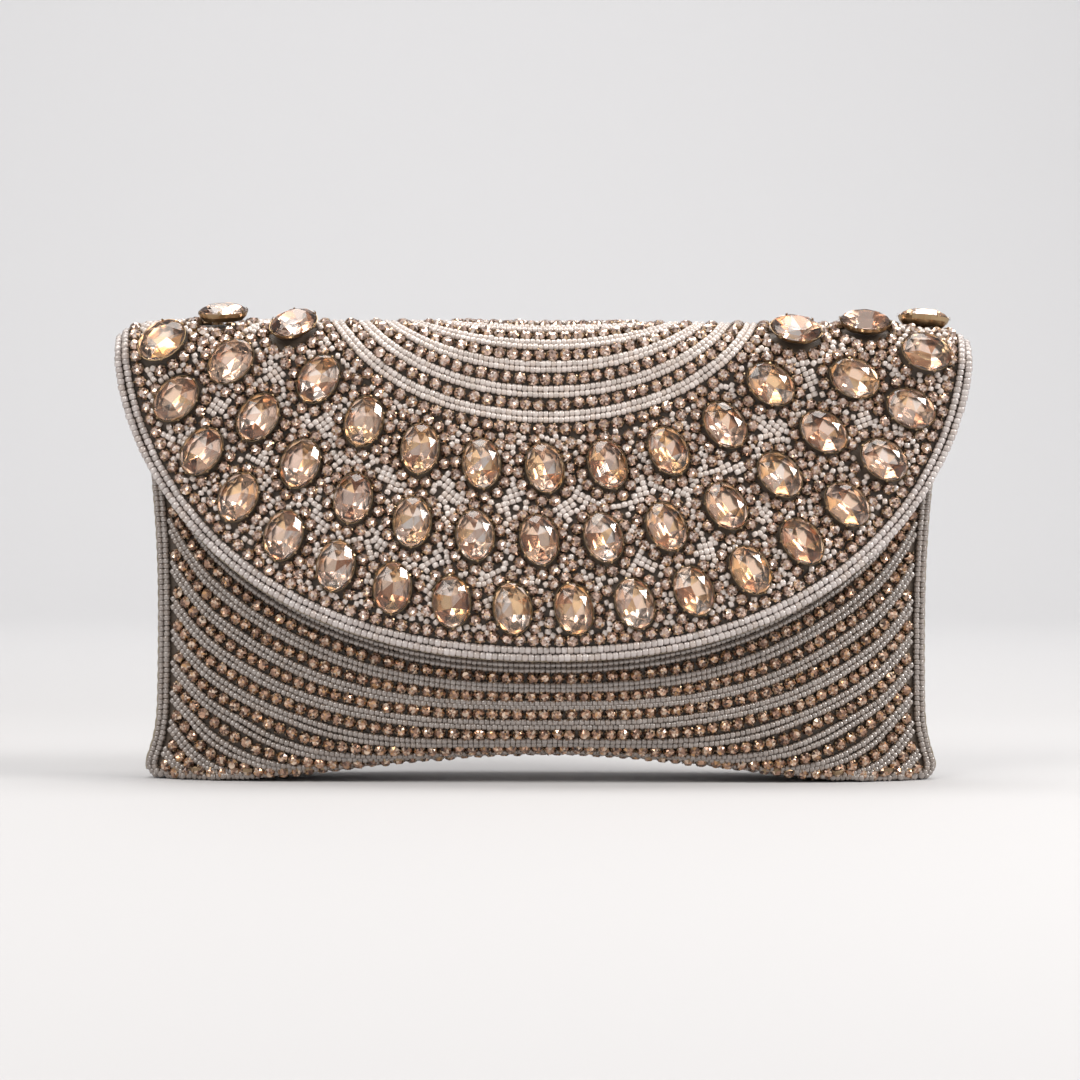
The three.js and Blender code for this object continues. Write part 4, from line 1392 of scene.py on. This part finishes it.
def build_piping():
    """A two-ply satin cord runs round the flap's edge between the cloth and the lining."""
    outline = superellipse(FLAP_HALF_WIDTH, FLAP_REACH, FLAP_ROUNDNESS, -0.02, math.pi + 0.02, 3000)
    run = runs_inside(offset_path(outline, -0.5), on_flap(-2))[0]
    places, _ = spaced(flap_point, run, 0.45)
    point, _, _, out = frames_on(flap_point, places[:, 0], places[:, 1], 1)
    piece = cord("edge_piping", point - out * (CLOTH_BACK + 0.45), 0.75)
    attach(piece, "flap")
    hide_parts("flap_piping")


def build_seam_cords():
    """A two-ply satin cord covers each side seam, from the bottom corner up to the mouth."""
    z = np.linspace(2.5, 109.0, 260)
    for name, hand in (("left", -1), ("right", 1)):
        x = hand * (body_half_width(z, "front") - 1.3)
        path = np.stack([x, np.full(260, SEAM_PLANE), z], -1)
        piece = cord(f"seam_cord_{name}", path, 0.85)
        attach(piece, "bag_body")


# ---- Assembly, camera and light ----
def build_beadwork():
    # Lit and shaded copies of the same pearls: the flap's are painted lighter, the front's are painted
    # darker as painted shade, the back's are a little less dark, and the border's stay near the plain
    # tones.
    seeds = seed_materials("flap_pearl_painted_light", (1.27, 1.22, 1.2))
    border_seeds = seed_materials("border_pearl", (1.0, 0.97, 0.98))
    body_seeds_painted_shade = {"front": seed_materials("front_pearl_painted_shade", (0.53, 0.485, 0.455)),
                  "back": seed_materials("back_pearl_painted_shade", (0.76, 0.715, 0.68))}
    stones = stone_materials("flap_stone", (1.06, 0.99, 0.93), 1.0)
    # The body's rhinestones are the flap's painted darker and warmer, as painted shade, and their higher
    # contrast darkens the dark facets most.
    body_stones_painted_shade = stone_materials("body_stone", (0.84, 0.73, 0.60), 1.45)
    seed, stone = seed_template(), rhinestone_template()
    flap = BeadField("flap")
    border_rows(flap)
    medallion_rows(flap)
    ridge_strands(flap)
    crystal_halos(flap)
    seed_patches(flap)
    loose_stones(flap)
    loose_seeds(flap)
    build_seeds(flap, "flap_border_beads", "flap", ("border",), border_seeds, seed, BORDER_SCALE)
    build_seeds(flap, "flap_medallion_beads", "flap", ("medallion",), seeds, seed)
    build_seeds(flap, "flap_patch_beads", "flap", ("patches",), seeds, seed)
    build_stones(flap, "flap_rhinestones", "flap", stones, stone)
    for side in ("front", "back"):
        field = BeadField(side)
        body_rows(field, side)
        side_strands(field, side)
        if side == "back":
            hinge_strand(field)
        build_seeds(field, f"{side}_row_beads", "bag_body", ("rows",), body_seeds_painted_shade[side], seed)
        build_seeds(field, f"{side}_seam_beads", "bag_body", ("sides",), body_seeds_painted_shade[side], seed)
        build_stones(field, f"{side}_rhinestones", "bag_body", body_stones_painted_shade, stone)


def add_camera():
    """The camera stands a little to the bag's right and above its middle."""
    target = Vector((-0.0015, -0.012, 0.0658))
    azimuth, elevation, distance = math.radians(-2.0), math.radians(1.5), 0.95
    away = Vector((math.sin(azimuth) * math.cos(elevation), -math.cos(azimuth) * math.cos(elevation),
                   math.sin(elevation)))
    camera = bpy.data.objects.new("camera", bpy.data.cameras.new("camera"))
    camera.location = target + away * distance
    camera.rotation_euler = away.to_track_quat("Z", "Y").to_euler()
    camera.rotation_euler.rotate_axis("Z", math.radians(0.3))
    camera.data.lens = 36 * distance / 0.291
    bpy.context.scene.collection.objects.link(camera)
    bpy.context.scene.camera = camera


def add_area(name, place, target, size, power, colour=(1, 1, 1)):
    light = bpy.data.lights.new(name, "AREA")
    light.shape = "RECTANGLE"
    light.size, light.size_y = size
    light.energy = power
    light.color = colour
    lamp = bpy.data.objects.new(name, light)
    lamp.location = place
    lamp.rotation_euler = (Vector(target) - Vector(place)).to_track_quat("-Z", "Y").to_euler()
    bpy.context.scene.collection.objects.link(lamp)


def add_backdrop():
    """A pale floor that curves up into a wall well behind the bag."""
    turn = np.linspace(0, np.pi / 2, 16)
    curve = [(900 + 700 * math.sin(a), 700 * (1 - math.cos(a))) for a in turn]
    profile = [(-2500.0, 0.0)] + curve + [(1600.0, 2600.0)]
    points = np.array([(x, y, z - 0.05) for x in (-9000.0, 9000.0) for y, z in profile])
    n = len(profile)
    i = np.arange(n - 1)
    paper = new_material("backdrop_paper", Base_Color=(0.60, 0.595, 0.60), Roughness=0.8)
    backdrop = mesh_object("backdrop", points, [np.stack([i, n + i, n + i + 1, i + 1], -1)], [paper])


def add_studio():
    add_backdrop()
    world = bpy.data.worlds.new("studio")
    bpy.context.scene.world = world
    world.use_nodes = True
    background = world.node_tree.nodes["Background"]
    background.inputs["Color"].default_value = (0.93, 0.94, 0.97, 1)
    background.inputs["Strength"].default_value = 0.5
    middle = (0, 0, 0.07)
    add_area("top", (0.0, 0.1, 1.0), middle, (0.8, 0.4), 5.5, (1.0, 0.98, 0.95))
    add_area("key", (0.85, -0.32, 0.75), middle, (0.32, 0.32), 8.0, (1.0, 0.97, 0.94))
    add_area("front", (-0.75, -0.72, 1.1), middle, (0.95, 0.65), 9.0, (1.0, 0.96, 0.91))
    add_area("wall", (0.0, 0.5, 0.9), (0.0, 1.6, 0.6), (1.5, 0.3), 8.0)


add_camera()
build_flap_cloth()
build_flap_lining()
build_body_cloth("front")
build_body_cloth("back")
build_pouch()
build_slip_pocket()
build_mouth_facing()
build_gussets()
build_piping()
build_seam_cords()
finish_hardware()
build_beadwork()
build_crystals()
add_studio()

bpy.context.scene.view_settings.view_transform = "Standard"
